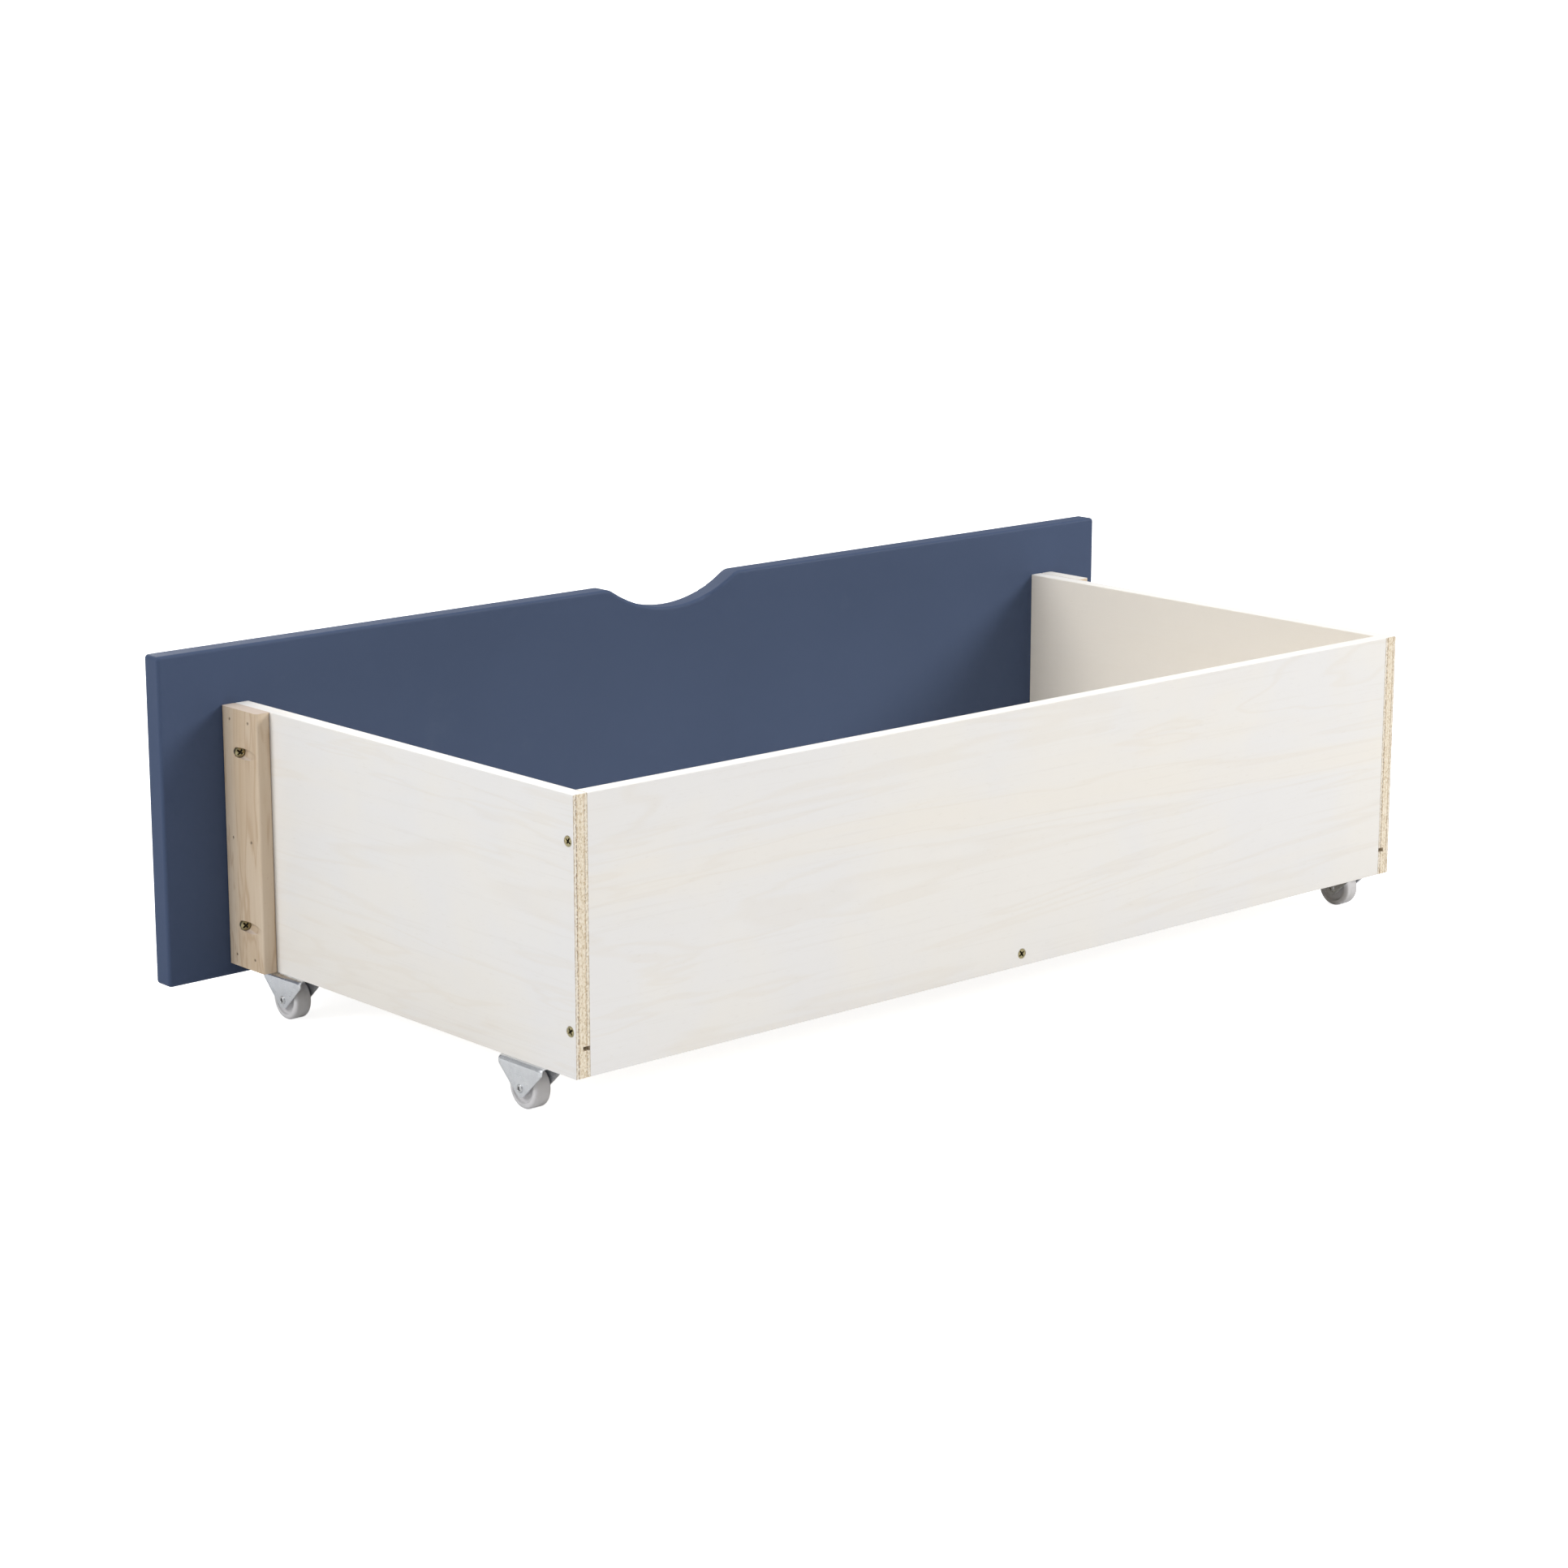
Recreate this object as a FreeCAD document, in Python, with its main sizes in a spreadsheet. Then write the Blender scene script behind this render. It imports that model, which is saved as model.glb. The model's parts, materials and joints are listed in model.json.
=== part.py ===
import FreeCAD, Part
import math
import os
import re
import Sketcher

# Under-bed storage drawer on four fixed casters.  Millimetres, +Z up, floor at Z = 0.
# The painted front faces -Y; the origin is the middle of the footprint on the floor.

V = FreeCAD.Vector
DOC = FreeCAD.newDocument("UnderBedBox")

DRIVING = [
    # painted front
    ("front_width", 965, "width of the painted front"),
    ("front_height", 246, "height of the painted front"),
    ("front_thickness", 18, "thickness of the painted front"),
    ("front_drop", 10, "how far the front hangs below the box"),
    ("front_ease", 2.5, "rounding on the edges of the front"),
    ("scoop_radius", 114, "radius of the finger scoop"),
    ("scoop_depth", 21, "depth of the finger scoop"),
    ("scoop_shoulder", 14, "rounding where the scoop meets the top edge"),
    # plywood box
    ("box_width", 836, "over the outer faces of the side panels"),
    ("side_length", 395, "length of a side panel"),
    ("side_height", 194, "height of side and back panels"),
    ("ply_thickness", 12, "thickness of side and back panels"),
    ("ply_ease", 0.8, "rounding on the panels' handled edges"),
    ("board_thickness", 3, "thickness of the bottom board"),
    ("groove_height", 18.5, "underside of the groove above the box base"),
    ("groove_depth", 6, "depth of the groove"),
    ("groove_gap", 0.2, "room left around the board in its groove"),
    ("rail_width", 40, "width of the rail under the board"),
    # cleats that carry the front
    ("cleat_width", 45, "cleat, measured along the side panel"),
    ("cleat_thickness", 12, "cleat, measured away from the side panel"),
    ("cleat_ease", 2, "rounding on the cleat's four long edges"),
    ("pocket_angle", 15, "slope of the pocket holes in degrees"),
    ("pocket_diameter", 8.4, "bore of the pocket holes"),
    ("pocket_reach", 27, "where the bore's axis leaves the cleat"),
    ("pocket_seat", 16.5, "seat of the screw head behind the front"),
    ("screw_inset", 32, "screws in from the top and bottom of the box"),
    ("brad_near", 10, "brad row nearest the front"),
    ("brad_far", 33.5, "brad row farthest from the front"),
    ("brad_margin", 8.5, "outer brads in from the cleat's ends"),
    # fasteners
    ("shank_diameter", 3.6, "wood screw shank"),
    ("hole_gap", 0.1, "bore made larger than the shank by this"),
    ("sunk_head", 7.4, "countersunk head diameter"),
    ("sunk_height", 2.4, "countersunk head height"),
    ("panel_screw_length", 35, "screws through the panels"),
    ("pan_head", 7, "pocket screw head diameter"),
    ("pan_height", 2.4, "pocket screw head height"),
    ("pocket_screw_length", 29, "pocket screw under its head"),
    ("caster_head", 6.6, "caster screw head diameter"),
    ("caster_head_height", 1.7, "caster screw head height"),
    ("caster_screw_length", 15, "caster screw under its head"),
    ("brad_diameter", 1.6, "brad shank"),
    ("brad_head", 2.4, "brad head diameter"),
    ("brad_length", 20, "brad over all"),
    ("brad_sink", 0.3, "brad heads below the cleat's face"),
    ("dowel_diameter", 8, "dowel between front and rail"),
    ("dowel_length", 30, "dowel over all"),
    ("dowel_in_front", 11, "dowel length inside the front"),
    # casters
    ("wheel_diameter", 30, "over the tread"),
    ("wheel_width", 14, "over the rims"),
    ("tread_round", 2.6, "rounding of the tread's shoulders"),
    ("rim_wall", 3.8, "thickness of the rim"),
    ("dish_depth", 2.2, "recess of the wheel's web on each face"),
    ("hub_diameter", 9, "hub boss"),
    ("hub_width", 15, "over the hub's faces"),
    ("bracket_length", 47, "folded bracket along the travel"),
    ("bracket_width", 18, "over the bracket's ears"),
    ("bracket_sheet", 1.2, "sheet thickness"),
    ("bracket_fold", 3, "outside radius of the folds"),
    ("ear_shoulder", 5.6, "height of the ears' square ends"),
    ("ear_reach", 8.4, "ears' points below the axle before rounding"),
    ("ear_round", 6.2, "rounding of the ears' points"),
    ("wheel_gap", 2.8, "room between the tread and the bracket's top"),
    ("axle_diameter", 4, "axle rivet shank"),
    ("axle_gap", 0.08, "radial play of the wheel on its axle"),
    ("rivet_head", 6.4, "formed head of the axle rivet"),
    ("rivet_height", 0.9, "height of the rivet's heads"),
    ("rivet_hole", 2.4, "hollow end of the rivet"),
    ("caster_front", 54, "front axle behind the front panel"),
    ("caster_rear", 58, "rear right axle ahead of the rear face"),
    ("caster_stagger", 13, "rear left axle further back than the rear right one"),
    ("caster_screw_reach", 17, "caster screws either side of the axle"),
]

DERIVED = [
    ("axle_drop", "wheel_diameter / 2 + wheel_gap + bracket_sheet"),
    ("ear_point", "wheel_diameter / 2 + wheel_gap + bracket_sheet + ear_reach"),
    ("box_base", "wheel_diameter + wheel_gap + bracket_sheet"),
    ("rear_face", "(front_thickness + side_length) / 2"),
    ("front_face", "-(front_thickness + side_length) / 2"),
    ("front_back", "-(front_thickness + side_length) / 2 + front_thickness"),
    ("side_face", "box_width / 2"),
    ("groove_size", "board_thickness + groove_gap"),
    ("inner_half", "box_width / 2 - ply_thickness"),
]

NAMES = {row[0] for row in DRIVING} | {row[0] for row in DERIVED}


def linked(text):
    """Return an expression with every size name pointed at the sheet."""
    def swap(match):
        word = match.group(0)
        return "Sizes." + word if word in NAMES else word
    return re.sub(r"[a-z][a-z_0-9]*", swap, text)


def make_sheet():
    """Write the driving sizes as plain numbers and the derived ones as formulas."""
    sheet = DOC.addObject("Spreadsheet::Sheet", "Sizes")
    row = 1
    for name, value, note in DRIVING:
        sheet.set("A%d" % row, name)
        sheet.set("B%d" % row, str(value))
        sheet.set("C%d" % row, note)
        sheet.setAlias("B%d" % row, name)
        row += 1
    DOC.recompute()
    for name, formula in DERIVED:
        sheet.set("A%d" % row, name)
        sheet.set("B%d" % row, "=" + formula)
        sheet.setAlias("B%d" % row, name)
        row += 1
    DOC.recompute()
    return sheet


SHEET = make_sheet()


def size(name):
    """Return one size of the sheet as a number."""
    return float(SHEET.get(name))


def bind(thing, prop, text):
    """Tie one property of a document object to the sheet."""
    thing.setExpression(prop, linked(text))


def place(thing, at, turn=None):
    """Tie the placement's base to the sheet and set its rotation."""
    if turn is not None:
        thing.Placement = FreeCAD.Placement(V(0, 0, 0), turn)
    for axis, text in zip("xyz", at):
        bind(thing, "Placement.Base." + axis, text)
    return thing


def box(name, lengths, at):
    """Make a plain block from three length expressions and its lowest corner."""
    block = DOC.addObject("Part::Box", name)
    for prop, text in zip(("Length", "Width", "Height"), lengths):
        bind(block, prop, text)
    return place(block, at)


def bore(name, radius, length, at, direction):
    """Make a cylinder that starts at a point and runs along a direction."""
    rod = DOC.addObject("Part::Cylinder", name)
    bind(rod, "Radius", radius)
    bind(rod, "Height", length)
    return place(rod, at, FreeCAD.Rotation(V(0, 0, 1), direction))


def sink(name, wide, narrow, length, at, direction):
    """Make a countersink that starts wide and narrows along a direction."""
    cone = DOC.addObject("Part::Cone", name)
    bind(cone, "Radius1", wide)
    bind(cone, "Radius2", narrow)
    bind(cone, "Height", length)
    return place(cone, at, FreeCAD.Rotation(V(0, 0, 1), direction))


def cut(name, base, tools):
    """Subtract one or more solids from a base solid."""
    tool = tools[0]
    if len(tools) > 1:
        tool = DOC.addObject("Part::MultiFuse", name + "_tools")
        tool.Shapes = tools
    result = DOC.addObject("Part::Cut", name)
    result.Base = base
    result.Tool = tool
    return result


def group(name, members):
    """Gather separate solids into one labelled node."""
    result = DOC.addObject("Part::Compound", name)
    result.Links = members
    return result


def edge_names(shape, test):
    """Return the names of a shape's edges that pass a test."""
    return ["Edge%d" % (i + 1) for i, edge in enumerate(shape.Edges) if test(edge)]


def runs_along(edge, direction):
    """Tell whether a straight edge is parallel to a direction."""
    if edge.Curve.TypeId != "Part::GeomLine":
        return False
    first, last = edge.Vertexes[0].Point, edge.Vertexes[-1].Point
    run = (last - first).normalize()
    return abs(abs(run.dot(direction)) - 1) < 1e-6


def rounded(name, base, radius, test):
    """Round the edges of a Part feature that pass a test."""
    DOC.recompute()
    result = DOC.addObject("Part::Fillet", name)
    result.Base = base
    value = size(radius)
    picked = [i + 1 for i, edge in enumerate(base.Shape.Edges) if test(edge)]
    result.Edges = [(i, value, value) for i in picked]
    return result


# ------------------------------------------------------------------ sketched bodies

def new_body(name):
    """Start a PartDesign body."""
    return DOC.addObject("PartDesign::Body", name)


def new_sketch(body, name, role):
    """Attach a sketch to one of the body's own origin planes."""
    sketch = body.newObject("Sketcher::SketchObject", name)
    plane = [item for item in body.Origin.OriginFeatures if item.Role == role][0]
    sketch.AttachmentSupport = (plane, "")
    sketch.MapMode = "FlatFace"
    return sketch


def pin(sketch, geometry, vertex, across, up):
    """Fix one sketch point by two expressions measured from the sketch's origin."""
    for kind, axis, text in (("DistanceX", -2, across), ("DistanceY", -1, up)):
        if text == "0":
            rule = Sketcher.Constraint("PointOnObject", geometry, vertex, axis)
            sketch.addConstraint(rule)
            continue
        value = 1.0
        number = sketch.addConstraint(
            Sketcher.Constraint(kind, -1, 1, geometry, vertex, value))
        sketch.setExpression("Constraints[%d]" % number, linked(text))


def polygon(sketch, corners):
    """Draw a closed outline whose corners are pairs of expressions."""
    count = len(corners)
    ring = [V(math.cos(6.2831 * i / count), math.sin(6.2831 * i / count), 0)
            for i in range(count)]
    for i in range(count):
        line = Part.LineSegment(ring[i], ring[(i + 1) % count])
        sketch.addGeometry(line, False)
    for i in range(count):
        joined = Sketcher.Constraint("Coincident", i, 2, (i + 1) % count, 1)
        sketch.addConstraint(joined)
    for i, (across, up) in enumerate(corners):
        pin(sketch, i, 1, across, up)


def circle(sketch, radius, across, up):
    """Draw a full circle from three expressions."""
    number = sketch.addGeometry(Part.Circle(V(1, 1, 0), V(0, 0, 1), 1.0), False)
    rule = sketch.addConstraint(Sketcher.Constraint("Radius", number, 1.0))
    sketch.setExpression("Constraints[%d]" % rule, linked(radius))
    pin(sketch, number, 3, across, up)


def pad(body, name, sketch, length, backwards=False, middle=False):
    """Extrude a sketch into material."""
    feature = body.newObject("PartDesign::Pad", name)
    feature.Profile = sketch
    bind(feature, "Length", length)
    feature.Reversed = backwards
    if middle:
        feature.SideType = "Symmetric"
    sketch.Visibility = False
    return feature


def pocket(body, name, sketch, length, backwards=False, middle=False):
    """Extrude a sketch as a cut and make sure that it removed material."""
    DOC.recompute()
    before = body.Shape.Volume
    feature = body.newObject("PartDesign::Pocket", name)
    feature.Profile = sketch
    bind(feature, "Length", length)
    feature.Reversed = backwards
    if middle:
        feature.SideType = "Symmetric"
    sketch.Visibility = False
    DOC.recompute()
    if not body.Shape.Volume < before - 1e-6:
        raise RuntimeError(name + " removes nothing")
    return feature


def turned(body, name, sketch):
    """Revolve a sketch a full turn about its vertical axis."""
    feature = body.newObject("PartDesign::Revolution", name)
    feature.Profile = sketch
    feature.ReferenceAxis = (sketch, ["V_Axis"])
    feature.Angle = 360
    sketch.Visibility = False
    return feature


def eased(body, name, radius, test):
    """Round the body's edges that pass a test, with the radius tied to the sheet."""
    DOC.recompute()
    base = body.Tip
    feature = body.newObject("PartDesign::Fillet", name)
    feature.Base = (base, edge_names(base.Shape, test))
    bind(feature, "Radius", radius)
    return feature


# ------------------------------------------------------------------ fasteners

def cross_recess(body, name, reach, depth):
    """Press a cross recess into the head of a turned screw."""
    for arm, (across, along) in enumerate(((reach, 0.9), (0.9, reach))):
        sketch = new_sketch(body, "%s_arm%d" % (name, arm), "XY_Plane")
        half_x, half_y = "%g" % (across / 2), "%g" % (along / 2)
        polygon(sketch, [("-" + half_x, "-" + half_y), (half_x, "-" + half_y),
                         (half_x, half_y), ("-" + half_x, half_y)])
        pocket(body, "%s_press%d" % (name, arm), sketch, "%g" % depth)


def sunk_screw(name):
    """Make a countersunk screw: face of the head at the origin, point towards -Z."""
    body = new_body(name)
    sketch = new_sketch(body, name + "_profile", "XZ_Plane")
    shank = "shank_diameter / 2"
    polygon(sketch, [
        ("0", "0"), ("sunk_head / 2", "0"), ("sunk_head / 2", "-0.4"),
        (shank, "-sunk_height"), (shank, "-panel_screw_length + 4"),
        ("0", "-panel_screw_length")])
    turned(body, name + "_turn", sketch)
    cross_recess(body, name, 3.9, 1.5)
    return body


def pan_screw(name, head, height, length, recess):
    """Make a pan-head screw: seat of the head at the origin, point towards -Z."""
    body = new_body(name)
    sketch = new_sketch(body, name + "_profile", "XZ_Plane")
    shank = "shank_diameter / 2"
    polygon(sketch, [
        ("0", height), (head + " / 2 - 1.1", height), (head + " / 2", height + " - 0.9"),
        (head + " / 2", "0"), (shank, "0"), (shank, "-" + length + " + 4"),
        ("0", "-" + length)])
    turned(body, name + "_turn", sketch)
    for arm, (across, along) in enumerate(((recess, 0.9), (0.9, recess))):
        cross = new_sketch(body, "%s_arm%d" % (name, arm), "XY_Plane")
        bind(cross, "AttachmentOffset.Base.z", height)
        half_x, half_y = "%g" % (across / 2), "%g" % (along / 2)
        polygon(cross, [("-" + half_x, "-" + half_y), (half_x, "-" + half_y),
                        (half_x, half_y), ("-" + half_x, half_y)])
        pocket(body, "%s_press%d" % (name, arm), cross, "1.2")
    return body


def brad(name):
    """Make a lost-head brad: face of the head at the origin, point towards -Z."""
    body = new_body(name)
    sketch = new_sketch(body, name + "_profile", "XZ_Plane")
    shank = "brad_diameter / 2"
    polygon(sketch, [
        ("0", "0"), ("brad_head / 2", "0"), ("brad_head / 2", "-0.7"),
        (shank, "-1.2"), (shank, "-brad_length + 2"), ("0", "-brad_length")])
    turned(body, name + "_turn", sketch)
    return body


def sunk_hole(name, at, direction):
    """Return the bore and countersink that take one countersunk screw."""
    shaft = bore(name + "_bore", "(shank_diameter + hole_gap) / 2",
                 "panel_screw_length + 0.5", at, direction)
    flare = sink(name + "_flare", "(sunk_head + hole_gap) / 2 + 0.3",
                 "(shank_diameter + hole_gap) / 2", "sunk_height + 0.3", at, direction)
    return [shaft, flare]


HANDS = (("left", -1), ("right", 1))


def signed(sign, text):
    """Return an expression carried to one hand of the box."""
    return "(%s)" % text if sign > 0 else "-(%s)" % text


# Screws through the panels: where each head sits and which way it points.
PANEL_SCREWS = []
for hand, sign in HANDS:
    for level, rise in (("low", "screw_inset"), ("high", "side_height - screw_inset")):
        spot = (signed(sign, "side_face"), "rear_face - ply_thickness / 2",
                "box_base + " + rise)
        PANEL_SCREWS.append(("side_%s_%s" % (hand, level), spot, V(-sign, 0, 0)))
PANEL_SCREWS.append(("rail", ("0", "rear_face", "box_base + groove_height / 2"),
                     V(0, -1, 0)))

# Pocket screws: the seat of each head, and the slope of its hole.
SLOPE = math.radians(size("pocket_angle"))
POCKETS = []
for hand, sign in HANDS:
    for level, rise in (("low", "screw_inset"), ("high", "side_height - screw_inset")):
        seat = (
            signed(sign, "side_face + cleat_thickness"
                   " - (pocket_reach - pocket_seat) * tan(pocket_angle * 1 deg)"),
            "front_back + pocket_seat",
            "box_base + " + rise)
        way = V(-sign * math.sin(SLOPE), -math.cos(SLOPE), 0)
        POCKETS.append(("%s_%s" % (hand, level), seat, way))

# Brads: two rows of three in each cleat.
BRADS = []
for hand, sign in HANDS:
    for row in ("near", "far"):
        for level, rise in (("low", "brad_margin"), ("mid", "side_height / 2"),
                            ("high", "side_height - brad_margin")):
            spot = (signed(sign, "side_face + cleat_thickness - brad_sink"),
                    "front_back + brad_" + row, "box_base + " + rise)
            BRADS.append(("%s_%s_%s" % (hand, row, level), spot, V(-sign, 0, 0)))

# Casters: where each axle's middle sits.
CASTERS = []
for end, along in (("front", "front_back + caster_front"),
                   ("rear", "rear_face - caster_rear")):
    for hand, sign in HANDS:
        shift = " + caster_stagger" if (end, hand) == ("rear", "left") else ""
        middle = (signed(sign, "side_face - ply_thickness / 2"), along + shift,
                  "box_base - axle_drop")
        CASTERS.append(("%s_%s" % (end, hand), middle))


def for_hand(rows, hand):
    """Return the rows whose name mentions one hand."""
    return [row for row in rows if hand in row[0]]


def aimed(thing, at, direction):
    """Put a fastener's origin at a point with its tip along a direction."""
    return place(thing, at, FreeCAD.Rotation(V(0, 0, -1), direction))


# ------------------------------------------------------------------ wooden parts

def pilot_holes(prefix, rows):
    """Return the sloping bores of pocket screws, from the head's seat inwards."""
    return [bore("%s_%s" % (prefix, name), "(shank_diameter + hole_gap) / 2",
                 "pocket_screw_length + 0.5", seat, way) for name, seat, way in rows]


def make_front():
    """Painted front: slab, finger scoop, eased edges, groove, dowel and screw bores."""
    body = new_body("front_blank")
    outline = new_sketch(body, "front_outline", "XZ_Plane")
    polygon(outline, [("-front_width / 2", "0"), ("front_width / 2", "0"),
                      ("front_width / 2", "front_height"),
                      ("-front_width / 2", "front_height")])
    pad(body, "front_slab", outline, "front_thickness", backwards=True)
    scoop = new_sketch(body, "front_scoop", "XZ_Plane")
    circle(scoop, "scoop_radius", "0", "front_height - scoop_depth + scoop_radius")
    pocket(body, "front_scoop_cut", scoop, "front_thickness * 4", middle=True)
    half = size("front_width") / 2
    top = size("front_height")

    def shoulder(edge):
        spot = edge.CenterOfMass
        at_top = abs(spot.z - top) < 1e-4
        return runs_along(edge, V(0, 1, 0)) and at_top and abs(spot.x) < half - 1

    def corner(edge):
        return runs_along(edge, V(0, 1, 0)) and abs(edge.CenterOfMass.x) > half - 1

    def rim(edge):
        ends = [vertex.Point.y for vertex in edge.Vertexes]
        depth = size("front_thickness")
        return all(y < 1e-4 for y in ends) or all(y > depth - 1e-4 for y in ends)

    eased(body, "front_shoulders", "scoop_shoulder", shoulder)
    eased(body, "front_corners", "front_ease + 0.5", corner)
    eased(body, "front_rims", "front_ease", rim)
    place(body, ("0", "front_face", "box_base - front_drop"))
    reach = "(inner_half + groove_depth)"
    groove = box("front_groove", ("2 * " + reach, "groove_depth + 1", "groove_size"),
                 ("-" + reach, "front_back - groove_depth", "box_base + groove_height"))
    dowel = bore("front_dowel_hole", "dowel_diameter / 2 + 0.05",
                 "dowel_in_front + 1.5",
                 ("0", "front_back + 1", "box_base + groove_height / 2"), V(0, -1, 0))
    return cut("front_panel", body, [groove, dowel] + pilot_holes("front_pilot", POCKETS))


def make_side(hand, sign):
    """Side panel: grooved inside, drilled for the back, the casters and the brads."""
    name = "side_panel_" + hand
    low = "side_face - ply_thickness" if sign > 0 else "-side_face"
    slab = box(name + "_slab", ("ply_thickness", "side_length", "side_height"),
               (low, "front_back", "box_base"))
    top = size("box_base") + size("side_height")

    def handled(edge):
        return runs_along(edge, V(0, 1, 0)) and abs(edge.CenterOfMass.z - top) < 1e-4

    soft = rounded(name + "_soft", slab, "ply_ease", handled)
    start = "inner_half - 1" if sign > 0 else "-inner_half - groove_depth"
    tools = [box(name + "_groove", ("groove_depth + 1", "side_length + 2", "groove_size"),
                 (start, "front_back - 1", "box_base + groove_height"))]
    for label, at, direction in for_hand(PANEL_SCREWS, hand):
        tools += sunk_hole(name + "_" + label, at, direction)
    for label, at, direction in for_hand(BRADS, hand):
        tools.append(bore(name + "_brad_" + label, "brad_diameter / 2 + 0.03",
                          "brad_length + 0.2", at, direction))
    for label, middle in for_hand(CASTERS, hand):
        for which, step in (("a", " - caster_screw_reach"), ("b", " + caster_screw_reach")):
            spot = (middle[0], middle[1] + step, "box_base - 1")
            tools.append(bore("%s_%s_%s" % (name, label, which),
                              "(shank_diameter + hole_gap) / 2",
                              "caster_screw_length + 0.5", spot, V(0, 0, 1)))
    return cut(name, soft, tools)


def make_back():
    """Back panel: sits between the sides, grooved inside, drilled for its screws."""
    slab = box("back_slab", ("2 * inner_half", "ply_thickness", "side_height"),
               ("-inner_half", "rear_face - ply_thickness", "box_base"))
    top = size("box_base") + size("side_height")

    def handled(edge):
        return runs_along(edge, V(1, 0, 0)) and abs(edge.CenterOfMass.z - top) < 1e-4

    soft = rounded("back_soft", slab, "ply_ease", handled)
    tools = [box("back_groove", ("2 * inner_half + 2", "groove_depth + 1", "groove_size"),
                 ("-inner_half - 1", "rear_face - ply_thickness - 1",
                  "box_base + groove_height"))]
    for label, at, direction in PANEL_SCREWS:
        tools += sunk_hole("back_" + label, at, direction)
    return cut("back_panel", soft, tools)


def make_board():
    """Thin bottom board held in the grooves on all four sides."""
    across = "(inner_half + groove_depth - groove_gap)"
    return box("bottom_board",
               ("2 * " + across,
                "side_length - ply_thickness + 2 * groove_depth - 2 * groove_gap",
                "board_thickness"),
               ("-" + across, "front_back - groove_depth + groove_gap",
                "box_base + groove_height"))


def make_rail():
    """Rail that carries the middle of the bottom board."""
    slab = box("rail_slab", ("rail_width", "side_length - ply_thickness", "groove_height"),
               ("-rail_width / 2", "front_back", "box_base"))
    middle = "box_base + groove_height / 2"
    dowel = bore("rail_dowel_hole", "dowel_diameter / 2 + 0.05",
                 "dowel_length - dowel_in_front + 2", ("0", "front_back - 1", middle),
                 V(0, 1, 0))
    screw = sunk_hole("rail_end", ("0", "rear_face", middle), V(0, -1, 0))
    return cut("centre_rail", slab, [dowel] + screw)


def make_cleat(hand, sign):
    """Cleat outside the box: pocket holes towards the front, brad holes inwards."""
    name = "cleat_" + hand
    low = "side_face" if sign > 0 else "-side_face - cleat_thickness"
    slab = box(name + "_slab", ("cleat_thickness", "cleat_width", "side_height"),
               (low, "front_back", "box_base"))

    def handled(edge):
        return runs_along(edge, V(0, 0, 1))

    soft = rounded(name + "_soft", slab, "cleat_ease", handled)
    rows = for_hand(POCKETS, hand)
    tools = pilot_holes(name + "_pilot", rows)
    for label, seat, way in rows:
        tools.append(bore("%s_pocket_%s" % (name, label), "pocket_diameter / 2",
                          "cleat_width", seat, -way))
    for label, at, direction in for_hand(BRADS, hand):
        mouth = bore("%s_brad_%s" % (name, label), "brad_head / 2 + 0.03",
                     "brad_sink + 1.2 + 1",
                     (signed(sign, "side_face + cleat_thickness + 1"), at[1], at[2]),
                     direction)
        shaft = bore("%s_shaft_%s" % (name, label), "brad_diameter / 2 + 0.03",
                     "brad_length", at, direction)
        tools += [mouth, shaft]
    return cut(name, soft, tools)


# ------------------------------------------------------------------ casters

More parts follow.
